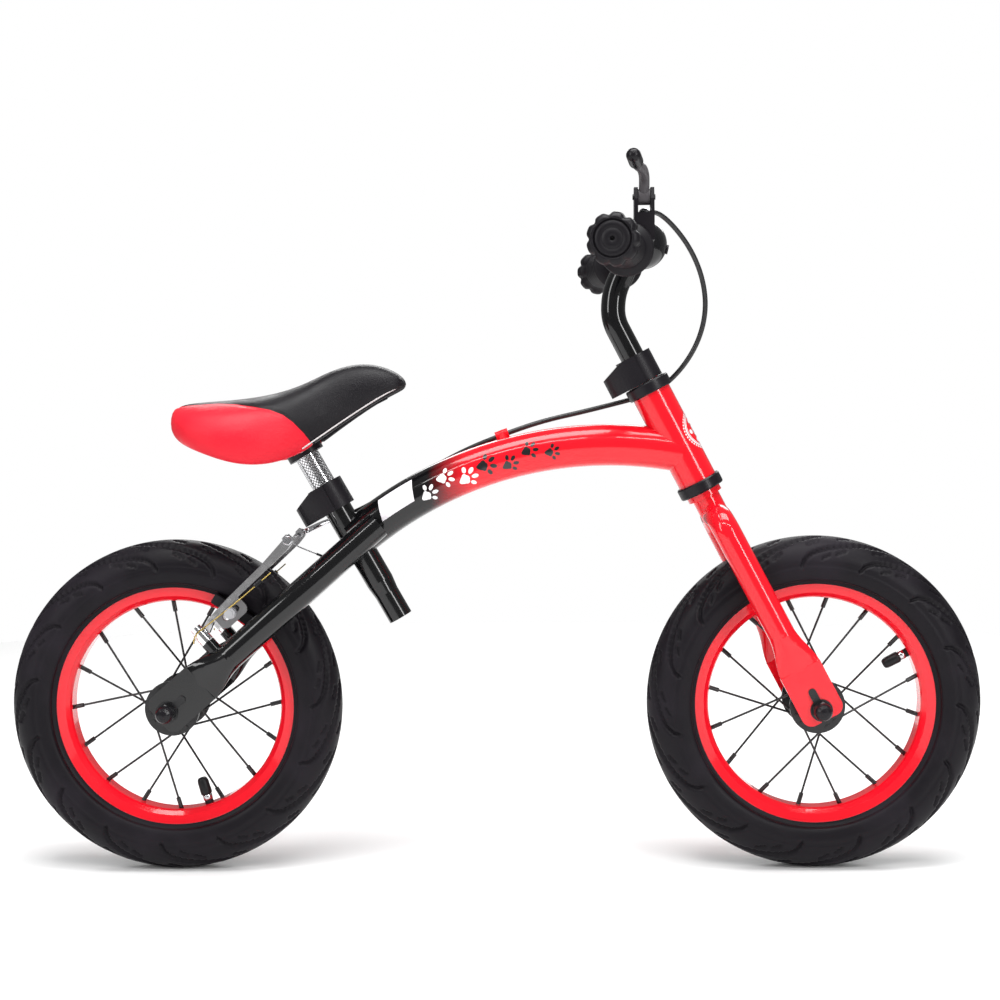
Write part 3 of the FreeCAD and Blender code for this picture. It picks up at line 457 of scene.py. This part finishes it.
black_plastic = moulded("black_plastic", (0.009, 0.0075, 0.010), 0.34)
dress(black_plastic, "upper_cup", "lower_cup", "seat_clamp_collar", "bar_clamp_collar", "seat_clamp_lever",
      "bar_clamp_lever", "brake_lever_body", "saddle_base")
dress(moulded("red_plastic", (0.72, 0.005, 0.014), 0.3), "cable_clip")


# Tyres --------------------------------------------------------------------------------------------
# Black moulded rubber on the rims. Wide grooves start at the tread's edge and sweep up to the crown,
# with short sipes between them; the sidewalls are smooth under one thin moulding line.

section_r = 0.026
tyre_centre_r = 0.1265
tread_edge = math.radians(86)
groove_run = [(0.0, 88), (1.2, 76), (4.0, 64), (9.0, 53), (15.0, 43), (21.0, 33), (27.0, 22), (32.0, 10)]
sipe_runs = [[(8.0, 75), (11.0, 67)], [(13.5, 64), (17.0, 54)], [(3.0, 40), (7.0, 30)],
             [(14.0, 22), (18.0, 12)]]
repeats = 15


def groove_depth(turn, roll, run, half_width, depth):
    """How far the rubber is cut at each spot by one run of grooves repeated round the tyre."""
    pitch = 2 * math.pi / repeats
    around = np.mod(turn, pitch)
    best = np.full(turn.shape, 1.0)
    radius = tyre_centre_r + section_r * np.cos(roll)
    for (a, b), (c, d) in zip(run, run[1:]):
        for lap in (-1, 0, 1, 2):
            u0, v0 = math.radians(a) - lap * pitch, math.radians(b)
            u1, v1 = math.radians(c) - lap * pitch, math.radians(d)
            px, py = (around - u0) * radius, (np.abs(roll) - v0) * section_r
            qx, qy = (u1 - u0) * radius, (v1 - v0) * section_r
            t = np.clip((px * qx + py * qy) / (qx * qx + qy * qy), 0, 1)
            best = np.minimum(best, np.hypot(px - t * qx, py - t * qy))
    edge = np.clip((half_width + 0.0006 - best) / 0.0009, 0, 1)
    return depth * edge * edge * (3 - 2 * edge)


def tyre(name, axle, body, way):
    """A tyre whose section is spun round the axle and then cut; way is the side its grooves sweep to."""
    mesh = bmesh.new()
    low_roll = math.radians(119)
    outer = [(tyre_centre_r + section_r * math.cos(a), section_r * math.sin(a))
             for a in np.linspace(-low_roll, low_roll, 61)]
    wall = 0.0032
    inner = [(tyre_centre_r + (section_r - wall) * math.cos(a), (section_r - wall) * math.sin(a))
             for a in np.linspace(math.radians(128), -math.radians(128), 19)]
    foot = [(0.1132, 0.0200), (0.1129, 0.0162), (0.1120, 0.0138), (0.1030, 0.0124), (0.1030, 0.0100)]
    outline = outer + foot + inner + [(r, -y) for r, y in reversed(foot)]
    verts = [mesh.verts.new((r, y, 0)) for r, y in outline]
    for first, second in zip(verts, verts[1:] + verts[:1]):
        mesh.edges.new((first, second))
    bmesh.ops.spin(mesh, geom=mesh.verts[:] + mesh.edges[:], cent=(0, 0, 0), axis=(0, 1, 0), dvec=(0, 0, 0),
                   angle=2 * math.pi, steps=720, use_merge=True)
    bmesh.ops.recalc_face_normals(mesh, faces=mesh.faces)
    made = bpy.data.meshes.new(name)
    mesh.to_mesh(made)
    mesh.free()
    spots = np.zeros(len(made.vertices) * 3)
    made.vertices.foreach_get("co", spots)
    spots = spots.reshape(-1, 3)
    radius = np.hypot(spots[:, 0], spots[:, 2])
    turn = np.arctan2(spots[:, 2], spots[:, 0]) * way
    roll = np.arctan2(spots[:, 1], radius - tyre_centre_r)
    out = np.hypot(spots[:, 1], radius - tyre_centre_r)
    cut = groove_depth(turn, roll, groove_run, 0.0015, 0.0032)
    for run in sipe_runs:
        cut = np.maximum(cut, groove_depth(turn, roll, run, 0.0008, 0.0024))
    cut = np.maximum(cut, 0.0014 * np.exp(-((np.abs(roll) - tread_edge) * section_r / 0.0010) ** 2))
    cut = cut - 0.0004 * np.exp(-((np.abs(roll) - math.radians(112)) * section_r / 0.0005) ** 2)
    cut = np.where((out > section_r - 0.0008) & (np.abs(roll) < math.radians(125)), cut, 0.0)
    shrink = (out - cut) / out
    new_radius = tyre_centre_r + (radius - tyre_centre_r) * shrink
    spots[:, 0] *= new_radius / radius
    spots[:, 2] *= new_radius / radius
    spots[:, 1] *= shrink
    spots += np.array(axle)
    made.vertices.foreach_set("co", spots.ravel())
    for face in made.polygons:
        face.use_smooth = True
    made.materials.append(tyre_rubber.material)
    piece = bpy.data.objects.new(name, made)
    bpy.context.scene.collection.objects.link(piece)
    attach(piece, body)
    return piece


tyre_rubber = Finish("tyre_rubber", (0.007, 0.0055, 0.008), 0.5, Specular_IOR_Level=0.16)
dust = tyre_rubber.noise(18.0, 6.0)
tyre_rubber.set("Base Color", tyre_rubber.mix(tyre_rubber.range(dust, 0.4, 0.75), (0.006, 0.0048, 0.007),
                                              (0.013, 0.010, 0.0145)))
tyre_rubber.set("Roughness", tyre_rubber.range(dust, 0.3, 0.7, 0.40, 0.58))
tyre_rubber.bump(tyre_rubber.noise(1300.0, 3.0), 0.00008)
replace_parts(tyre("rear_tread", rear_axle, "rear_wheel", 1), "rear_tyre")
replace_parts(tyre("front_tread", front_axle, "front_wheel", -1), "front_tyre")


# Rims, hubs and spokes ----------------------------------------------------------------------------
# Steel rims rolled, welded and painted red, laced with black spokes to black hubs on solid axles.

dress(lacquer("rim_paint", (0.82, 0.006, 0.018)), "rear_rim", "front_rim")
black_steel = Finish("black_steel", (0.007, 0.007, 0.008), 0.34, Coat_Weight=0.2, Specular_IOR_Level=0.4)
black_steel.set("Roughness", black_steel.range(black_steel.noise(120.0, 4.0), 0.3, 0.7, 0.26, 0.44))
black_steel.bump(black_steel.noise(600.0), 0.00003)
dress(black_steel, "rear_hub", "front_hub", "rear_spokes", "front_spokes", "rear_axle", "front_axle",
      "rear_axle_nuts", "front_axle_nuts", "seat_clamp_pin", "bar_clamp_pin", "brake_lever_pin",
      "headset_bearings")
dress(moulded("nut_cap_plastic", (0.010, 0.009, 0.011), 0.22), "rear_nut_caps", "front_nut_caps")
dress(moulded("tube_rubber", (0.012, 0.011, 0.012), 0.5), "rear_inner_tube", "front_inner_tube")


def turned_piece(mesh, outline, spot, axis, steps=48):
    """Spins an outline of (radius, height) round an axis through a spot and closes it at its poles."""
    axis = Vector(axis).normalized()
    side = axis.orthogonal().normalized()
    verts = [mesh.verts.new(Vector(spot) + side * max(r, 1e-6) + axis * h) for r, h in outline]
    edges = [mesh.edges.new(pair) for pair in zip(verts, verts[1:])]
    made = bmesh.ops.spin(mesh, geom=verts + edges, cent=spot, axis=axis, dvec=(0, 0, 0), angle=2 * math.pi,
                          steps=steps, use_merge=True)
    bmesh.ops.remove_doubles(mesh, verts=mesh.verts, dist=3e-6)
    return made


# Valve caps ---------------------------------------------------------------------------------------
# A knurled black dust cap on each valve's stem, above a bright band where the thread shows.

bright_steel = Finish("bright_steel", (0.62, 0.62, 0.64), 0.22, Metallic=1.0)
bright_steel.set("Roughness", bright_steel.range(bright_steel.noise(150.0, 4.0), 0.3, 0.7, 0.15, 0.34))
bright_steel.bump(bright_steel.noise(500.0), 0.00003)
cap_plastic = moulded("cap_plastic", (0.010, 0.010, 0.011), 0.35)
for body, axle, degrees in (("rear_wheel", rear_axle, -73.4), ("front_wheel", front_axle, 27.5)):
    rise = math.radians(degrees)
    inward = -Vector((math.cos(rise), 0, math.sin(rise)))
    band_spot = axle - inward * 0.0935
    cap_spot = axle - inward * 0.0885
    band = bmesh.new()
    turned_piece(band, [(0.0041, 0), (0.0045, 0.0004), (0.0045, 0.0044), (0.0041, 0.0048)],
                 band_spot, inward)
    fittings(bright_steel, body + "_valve_band", body, band)
    cap = bmesh.new()
    turned_piece(cap, [(0.0042, 0), (0.0051, 0.0006), (0.0053, 0.002), (0.0051, 0.0125), (0.0044, 0.0150),
                       (0.0030, 0.0163), (0, 0.0166)], cap_spot, inward, 24)
    fittings(cap_plastic, body + "_valve_cap", body, cap)


# Seat post and saddle -----------------------------------------------------------------------------
# A chromed post with a rolled diamond knurl. The saddle is moulded foam under a black vinyl cover with
# a puffed red wing sewn on each side, piped along its lower edge and stapled to a plastic shell.

seat_foot = Vector((-0.0857, 0, 0.2319))
chrome = Finish("chrome", (0.80, 0.80, 0.82), 0.08, Metallic=1.0)
chrome.set("Roughness", chrome.range(chrome.noise(60.0, 4.0), 0.3, 0.7, 0.06, 0.18))
chrome.bump(chrome.noise(260.0, 2.0), 0.00004)

knurl = Finish("knurled_chrome", (0.78, 0.78, 0.80), 0.16, Metallic=1.0)
local = knurl.node("ShaderNodeMapping", {"vector_type": "TEXTURE"}, {
    "Vector": knurl.place, "Location": tuple(seat_foot), "Rotation": (0, math.radians(-29.5), 0)})
split = knurl.node("ShaderNodeSeparateXYZ", None, {"Vector": Value(knurl, local.outputs[0])})
px, py, pz = [Value(knurl, socket) for socket in split.outputs]
around = px.math("ARCTAN2", py) * 10.0
rise = pz * (10.0 / 0.0111)
ridge = (around + rise).math("SINE").math("ABSOLUTE").math(
    "MINIMUM", (around - rise).math("SINE").math("ABSOLUTE"))
knurl.bump(knurl.range(ridge, 0.0, 0.45), 0.0005)
# The grooves are painted darker than the ridges: painted shade in the knurl's recesses.
knurl.set("Base Color", knurl.mix(knurl.range(ridge, 0.05, 0.5), (0.25, 0.25, 0.26), (0.86, 0.86, 0.88)))
dress(knurl, "seat_post")
dress(bright_steel, "saddle_bolt")

vinyl = Finish("saddle_vinyl", (0.010, 0.009, 0.011), 0.4, Specular_IOR_Level=0.2)
sx, _, sz = vinyl.axes()
seam_low_x, seam_high_x = -0.292, -0.148
seam_low_z, seam_high_z = 0.360, 0.440
seam_points = [(-0.292, 0.4270), (-0.275, 0.4285), (-0.246, 0.4300), (-0.228, 0.4292), (-0.211, 0.4268),
               (-0.196, 0.4240), (-0.1845, 0.4195), (-0.176, 0.4130), (-0.167, 0.4030), (-0.1576, 0.3885),
               (-0.150, 0.3700)]
seam_stops = [((x - seam_low_x) / (seam_high_x - seam_low_x), (z - seam_low_z) / (seam_high_z - seam_low_z))
              for x, z in seam_points]
share_back = vinyl.node("ShaderNodeMapRange", None, {
    "Value": sx, "From Min": seam_low_x, "From Max": seam_high_x})
ramp = vinyl.node("ShaderNodeValToRGB", {"stops": seam_stops}, {"Fac": Value(vinyl, share_back.outputs[0])})
seam_z = Value(vinyl, ramp.outputs[0]) * (seam_high_z - seam_low_z) + seam_low_z
above = sz - seam_z
wing = vinyl.range(above, 0.0002, -0.0002)
# A thin band along the seam is painted darker than the cover: painted shade in the seam's crease.
seam_shade = vinyl.range(above.math("ABSOLUTE"), 0.0, 0.0009)
skin = vinyl.mix(vinyl.noise(25.0, 4.0), (0.006, 0.005, 0.007), (0.010, 0.009, 0.011))
red_skin = vinyl.mix(vinyl.noise(25.0, 4.0), (0.72, 0.012, 0.028), (0.80, 0.020, 0.038))
vinyl.set("Base Color", vinyl.mix(seam_shade, (0.004, 0.003, 0.004), vinyl.mix(wing, skin, red_skin)))
vinyl.set("Roughness", vinyl.range(vinyl.noise(40.0, 5.0), 0.3, 0.7, 0.33, 0.47))
cells = Value(vinyl, vinyl.node("ShaderNodeTexVoronoi", {"feature": "DISTANCE_TO_EDGE"}, {
    "Vector": vinyl.place, "Scale": 620.0}).outputs["Distance"])
vinyl.bump(vinyl.range(cells, 0.0, 0.25) + vinyl.noise(45.0, 3.0) * 3.0, 0.00007)

pad_stations = [(-0.2905, 0.4250, 0.4090, 0.032), (-0.2800, 0.4300, 0.3950, 0.057),
                (-0.2564, 0.4318, 0.3855, 0.0715), (-0.2264, 0.4338, 0.3745, 0.0745),
                (-0.1964, 0.4385, 0.3735, 0.068), (-0.1704, 0.4472, 0.3830, 0.048),
                (-0.1464, 0.4600, 0.4000, 0.033), (-0.1204, 0.4668, 0.4185, 0.0255),
                (-0.0944, 0.4622, 0.4350, 0.0215), (-0.0780, 0.4508, 0.4420, 0.013)]


def seam_height(x):
    """The height of the sewn seam at a distance along the saddle."""
    return np.interp(x, [p[0] for p in seam_points], [p[1] for p in seam_points])


saddle_mesh = bmesh.new()
rings = []
for x, top, low, half in pad_stations:
    climb = top - low
    roof = top - min(0.020, 0.55 * climb)
    skirt = min(0.016, 0.42 * half)
    section = [(0, top), (0.30 * half, top - 0.012 * climb), (0.58 * half, top - 0.06 * climb),
               (0.84 * half, low + 0.78 * climb), (0.985 * half, low + 0.52 * climb),
               (half, low + 0.30 * climb),
               (half - 0.002, low + 0.10 * climb), (half - 0.5 * skirt, low),
               (half - skirt, low + 0.12 * (roof - low)), (0.45 * half, low + 0.75 * (roof - low)),
               (0, roof)]
    ring = section + [(-y, z) for y, z in reversed(section[1:-1])]
    circle = bmesh.ops.create_circle(saddle_mesh, cap_ends=False, segments=len(ring), radius=1.0)["verts"]
    for vert, (y, z) in zip(circle, ring):
        vert.co = (x, y, z)
    rings.append(circle)
for first, second in zip(rings, rings[1:]):
    edges = {e for v in first + second for e in v.link_edges if e.is_wire or len(e.link_faces) < 2}
    keep = [e for e in edges if e.verts[0] in first and e.verts[1] in first
            or e.verts[0] in second and e.verts[1] in second]
    bmesh.ops.bridge_loops(saddle_mesh, edges=keep)
for ring in (rings[0], rings[-1]):
    members = set(ring)
    rim = [e for e in saddle_mesh.edges if e.verts[0] in members and e.verts[1] in members]
    bmesh.ops.edgeloop_fill(saddle_mesh, edges=rim)
saddle_cover = fittings(vinyl, "saddle_cover", None, saddle_mesh)
smooth_cover = saddle_cover.modifiers.new("foam", "SUBSURF")
smooth_cover.levels = smooth_cover.render_levels = 4
bpy.context.view_layer.update()
full = bpy.data.meshes.new_from_object(saddle_cover.evaluated_get(bpy.context.evaluated_depsgraph_get()))
saddle_cover.modifiers.clear()
saddle_cover.data = full
spots = np.zeros(len(full.vertices) * 3)
full.vertices.foreach_get("co", spots)
spots = spots.reshape(-1, 3)
normals = np.zeros(len(full.vertices) * 3)
full.vertices.foreach_get("normal", normals)
normals = normals.reshape(-1, 3)
gap = spots[:, 2] - seam_height(spots[:, 0])
near_wing = (spots[:, 0] < -0.1500) & (np.abs(spots[:, 1]) > 0.010)
valley = np.where(near_wing, -0.0011 * np.exp(-(gap / 0.0016) ** 2), 0.0)
puff = np.where(near_wing & (gap < 0), 0.0010 * (1 - np.exp(gap / 0.006)), 0.0)
spots += normals * (valley + puff)[:, None]
full.vertices.foreach_set("co", spots.ravel())
for face in full.polygons:
    face.use_smooth = True
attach(saddle_cover, "saddle")
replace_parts(saddle_cover, "saddle_pad")
piping = Finish("pale_piping", (0.60, 0.56, 0.56), 0.5)
piping.set("Base Color", piping.mix(piping.noise(200.0), (0.48, 0.44, 0.44), (0.70, 0.66, 0.66)))
piping.bump(piping.noise(900.0), 0.00005)
edge_run = [(-0.1660, 0.0470, 0.3865), (-0.1464, 0.0325, 0.4035), (-0.1204, 0.0252, 0.4212),
            (-0.0944, 0.0212, 0.4370), (-0.0820, 0.0135, 0.4435)]
edge_run = edge_run + [(-0.0780, 0, 0.4450)] + [(x, -y, z) for x, y, z in reversed(edge_run)]
settled = []
for spot in edge_run:
    _, where, outward, _ = saddle_cover.closest_point_on_mesh(spot)
    settled.append(where + outward * 0.0002)
swept(piping, "saddle_piping", settled, 0.0007, "saddle")


# Handlebar, grips and levers ----------------------------------------------------------------------
# A swept steel bar welded to its bent post. Each rubber grip has a flange, a ribbed barrel and a knob
# whose lips are scalloped in nine lobes. The brake lever's end has a rubber sleeve.

rubber = moulded("black_rubber", (0.007, 0.006, 0.008), 0.46, 1400.0)
bar_half, bar_sweep, bar_straight, bar_ahead, bar_height = 0.180, 0.023, 0.038, 0.127, 0.560
grip_outline = [(0.0112, -0.0998), (0.0229, -0.0998), (0.0239, -0.0985), (0.0229, -0.0966),
                (0.0178, -0.0952), (0.0167, -0.0920)]
for k in range(9):
    h = -0.087 + 0.0078 * k
    grip_outline += [(0.0165, h - 0.0016), (0.0172, h - 0.0006), (0.0172, h + 0.0006), (0.0165, h + 0.0016)]
grip_outline += [(0.0168, -0.0180), (0.0200, -0.0152), (0.0218, -0.0138), (0.0224, -0.0126),
                 (0.0216, -0.0116), (0.0208, -0.0112), (0.0222, -0.0100), (0.0226, -0.0086),
                 (0.0218, -0.0074), (0.0209, -0.0070), (0.0221, -0.0058), (0.0224, -0.0040),
                 (0.0219, -0.0012), (0.0206, 0.0010), (0.0184, 0.0026), (0.0166, 0.0031),
                 (0.0160, 0.0025), (0.0156, 0.0012), (0.0150, 0.0011), (0.0146, 0.0024),
                 (0.0138, 0.0031), (0.0100, 0.0034), (0.0094, 0.0030), (0.0086, 0.0029),
                 (0.0080, 0.0034), (0.0026, 0.0036), (0.0020, 0.0032), (0.0018, 0.0004),
                 (0, 0.0004)]
for side, name in ((-1, "right_grip"), (1, "left_grip")):
    way = Vector((-bar_sweep, side * (bar_half - bar_straight), 0)).normalized()
    tip = Vector((bar_ahead - bar_sweep, side * bar_half, bar_height))
    grip = bmesh.new()
    turned_piece(grip, grip_outline, tip, way, 108)
    flat = way.cross(Vector((0, 0, 1))).normalized()
    for vert in grip.verts:
        off = vert.co - tip
        h = off.dot(way)
        radial = off - way * h
        if h > -0.0165 and radial.length > 0.0165:
            turn = math.atan2(radial.dot(Vector((0, 0, 1))), radial.dot(flat))
            bite = ((1 + math.cos(9 * turn)) / 2) ** 3 * min(1.0, (radial.length - 0.0165) / 0.004)
            vert.co -= radial.normalized() * 0.0024 * bite
    piece = fittings(rubber, name + "_rubber", "handlebar", grip)
    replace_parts(piece, name)

blade = moulded("lever_plastic", (0.085, 0.080, 0.086), 0.30)
sleeve = blade.range(blade.axes()[1], -0.1355, -0.1345)
blade.set("Base Color", blade.mix(sleeve, (0.009, 0.008, 0.010), (0.085, 0.078, 0.084)))
dress(blade, "brake_lever_blade")
bell_paint = lacquer("bell_paint", (0.004, 0.004, 0.005))
dress(bell_paint, "bell_dome")
dress(black_plastic, "bell_base", "bell_lever")
dress(bright_steel, "barrel_adjuster")


# Rim brake ----------------------------------------------------------------------------------------
# Pressed and chromed arms on the stays' studs. A grey slotted tongue on each arm holds the pad's bolt,
# a brass-coloured spring wire opens the arm, and a pinch bolt holds the cable's wire.

pad_lean = math.radians(15.9)
pad_spot = rear_axle + (stay_up * math.cos(pad_lean) + stay_back * math.sin(pad_lean)) * 0.1055
arm_chrome = Finish("arm_chrome", (0.90, 0.90, 0.91), 0.14, Metallic=1.0)
ax, ay, az = arm_chrome.axes()
from_pad = ((ax - pad_spot.x) ** 2.0 + (az - pad_spot.z) ** 2.0).math("SQRT")
tongue = arm_chrome.range(from_pad, 0.0188, 0.0180) * arm_chrome.range(ay.math("ABSOLUTE"), 0.0404, 0.0401)
arm_chrome.set("Base Color", arm_chrome.mix(tongue, (0.93, 0.92, 0.93), (0.24, 0.235, 0.24)))
polish = arm_chrome.range(arm_chrome.noise(90.0, 4.0), 0.3, 0.7, 0.06, 0.14)
arm_chrome.set("Roughness", polish + tongue * 0.25)
arm_chrome.bump(arm_chrome.noise(60.0, 1.0), 0.00008)
dress(arm_chrome, "right_brake_arm", "left_brake_arm")
dress(chrome, "cable_noodle", "brake_wire", "brake_pivot_bolts")

pads = moulded("brake_block", (0.012, 0.011, 0.013), 0.5)
hardware = pads.range(pads.axes()[1].math("ABSOLUTE"), 0.0280, 0.0282)
pads.set("Base Color", pads.mix(hardware, (0.012, 0.011, 0.013), (0.55, 0.55, 0.57)))
pads.set("Metallic", hardware)
dress(pads, "right_brake_pad", "left_brake_pad")

brass = Finish("spring_brass", (0.55, 0.40, 0.12), 0.3, Metallic=1.0)
brass.set("Roughness", brass.range(brass.noise(300.0), 0.3, 0.7, 0.22, 0.38))
for side, name in ((-1, "right"), (1, "left")):
    arm = name + "_brake_arm"
    spring = [stay(0.154, 0.0315, side * 0.0462), stay(0.120, 0.0320, side * 0.0462),
              stay(0.090, 0.0335, side * 0.0466), stay(0.074, 0.0350, side * 0.0500),
              stay(0.064, 0.0345, side * 0.0530), stay(0.060, 0.0300, side * 0.0500)]
    swept(brass, name + "_spring", spring, 0.0006, arm)
    slider = swept(cap_plastic, name + "_spring_slider", [stay(0.135, 0.0318, side * 0.0462),
                   stay(0.139, 0.0317, side * 0.0462), stay(0.143, 0.0316, side * 0.0462)], 0.0021, arm)
    head = bmesh.new()
    turned_piece(head, [(0.0028, 0), (0.0052, 0), (0.0052, 0.0010), (0.0040, 0.0011), (0.0040, 0.0040),
                        (0.0036, 0.0044), (0, 0.0044)], stay(0.1845, 0.0435, side * 0.0440), (0, side, 0), 6)
    fittings(bright_steel, name + "_pinch_bolt", arm, head, smooth=False)
tail = [stay(0.185, 0.040, -0.0405), stay(0.186, 0.034, -0.036), stay(0.189, 0.026, -0.030),
        stay(0.193, 0.017, -0.025)]
swept(bright_steel, "wire_tail", tail, 0.0006, "right_brake_arm")
crimp = [tail[-1], stay(0.1945, 0.0135, -0.0235), stay(0.196, 0.010, -0.022)]
swept(cap_plastic, "wire_end_cap", crimp, 0.0011, "right_brake_arm")


# Head badge ---------------------------------------------------------------------------------------
# A plain round foil badge wrapped round the front of the head tube, with a beaded white rim.

badge_high = 0.272
badge_r = 0.0185


def on_head_tube(u, v, lift):
    """A spot on the head tube's front: u metres round it and v up it from the badge's middle."""
    radius = 0.018 + lift
    return steer(badge_high + v, radius * math.cos(u / 0.018), radius * math.sin(u / 0.018))


def badge_disc(mesh, u, v, radius, lift, segments):
    """A flat dot of foil pressed round the tube."""
    made = bmesh.ops.create_circle(mesh, cap_ends=True, cap_tris=True, segments=segments, radius=radius)
    for vert in made["verts"]:
        vert.co = on_head_tube(u + vert.co.x, v + vert.co.y, lift)


def badge_ring(mesh, inner, outer, lift, segments=72):
    """A flat ring of foil pressed round the tube."""
    made = bmesh.ops.create_circle(mesh, cap_ends=False, segments=segments, radius=outer)["verts"]
    ring = bmesh.ops.extrude_edge_only(mesh, edges=list({e for v in made for e in v.link_edges}))["geom"]
    for vert in (g for g in ring if isinstance(g, bmesh.types.BMVert)):
        vert.co *= inner / outer
        made.append(vert)
    for vert in made:
        vert.co = on_head_tube(vert.co.x, vert.co.y, lift)


badge_white = bmesh.new()
for k in range(40):
    turn = 2 * math.pi * k / 40
    badge_disc(badge_white, badge_r * math.cos(turn), badge_r * math.sin(turn), 0.0009, 0.0003, 8)
badge_ring(badge_white, 0.0158, 0.0170, 0.00025)
fittings(white_film, "badge_beads", "frame", badge_white)
badge_grey = bmesh.new()
badge_ring(badge_grey, 0.0146, 0.0152, 0.00025)
badge_ring(badge_grey, 0.0060, 0.0068, 0.00025)
for k in range(6):
    turn = 2 * math.pi * k / 6
    badge_disc(badge_grey, 0.0107 * math.cos(turn), 0.0107 * math.sin(turn), 0.0022, 0.00025, 16)
fittings(white_film, "badge_pattern", "frame", badge_grey)


low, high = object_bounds()
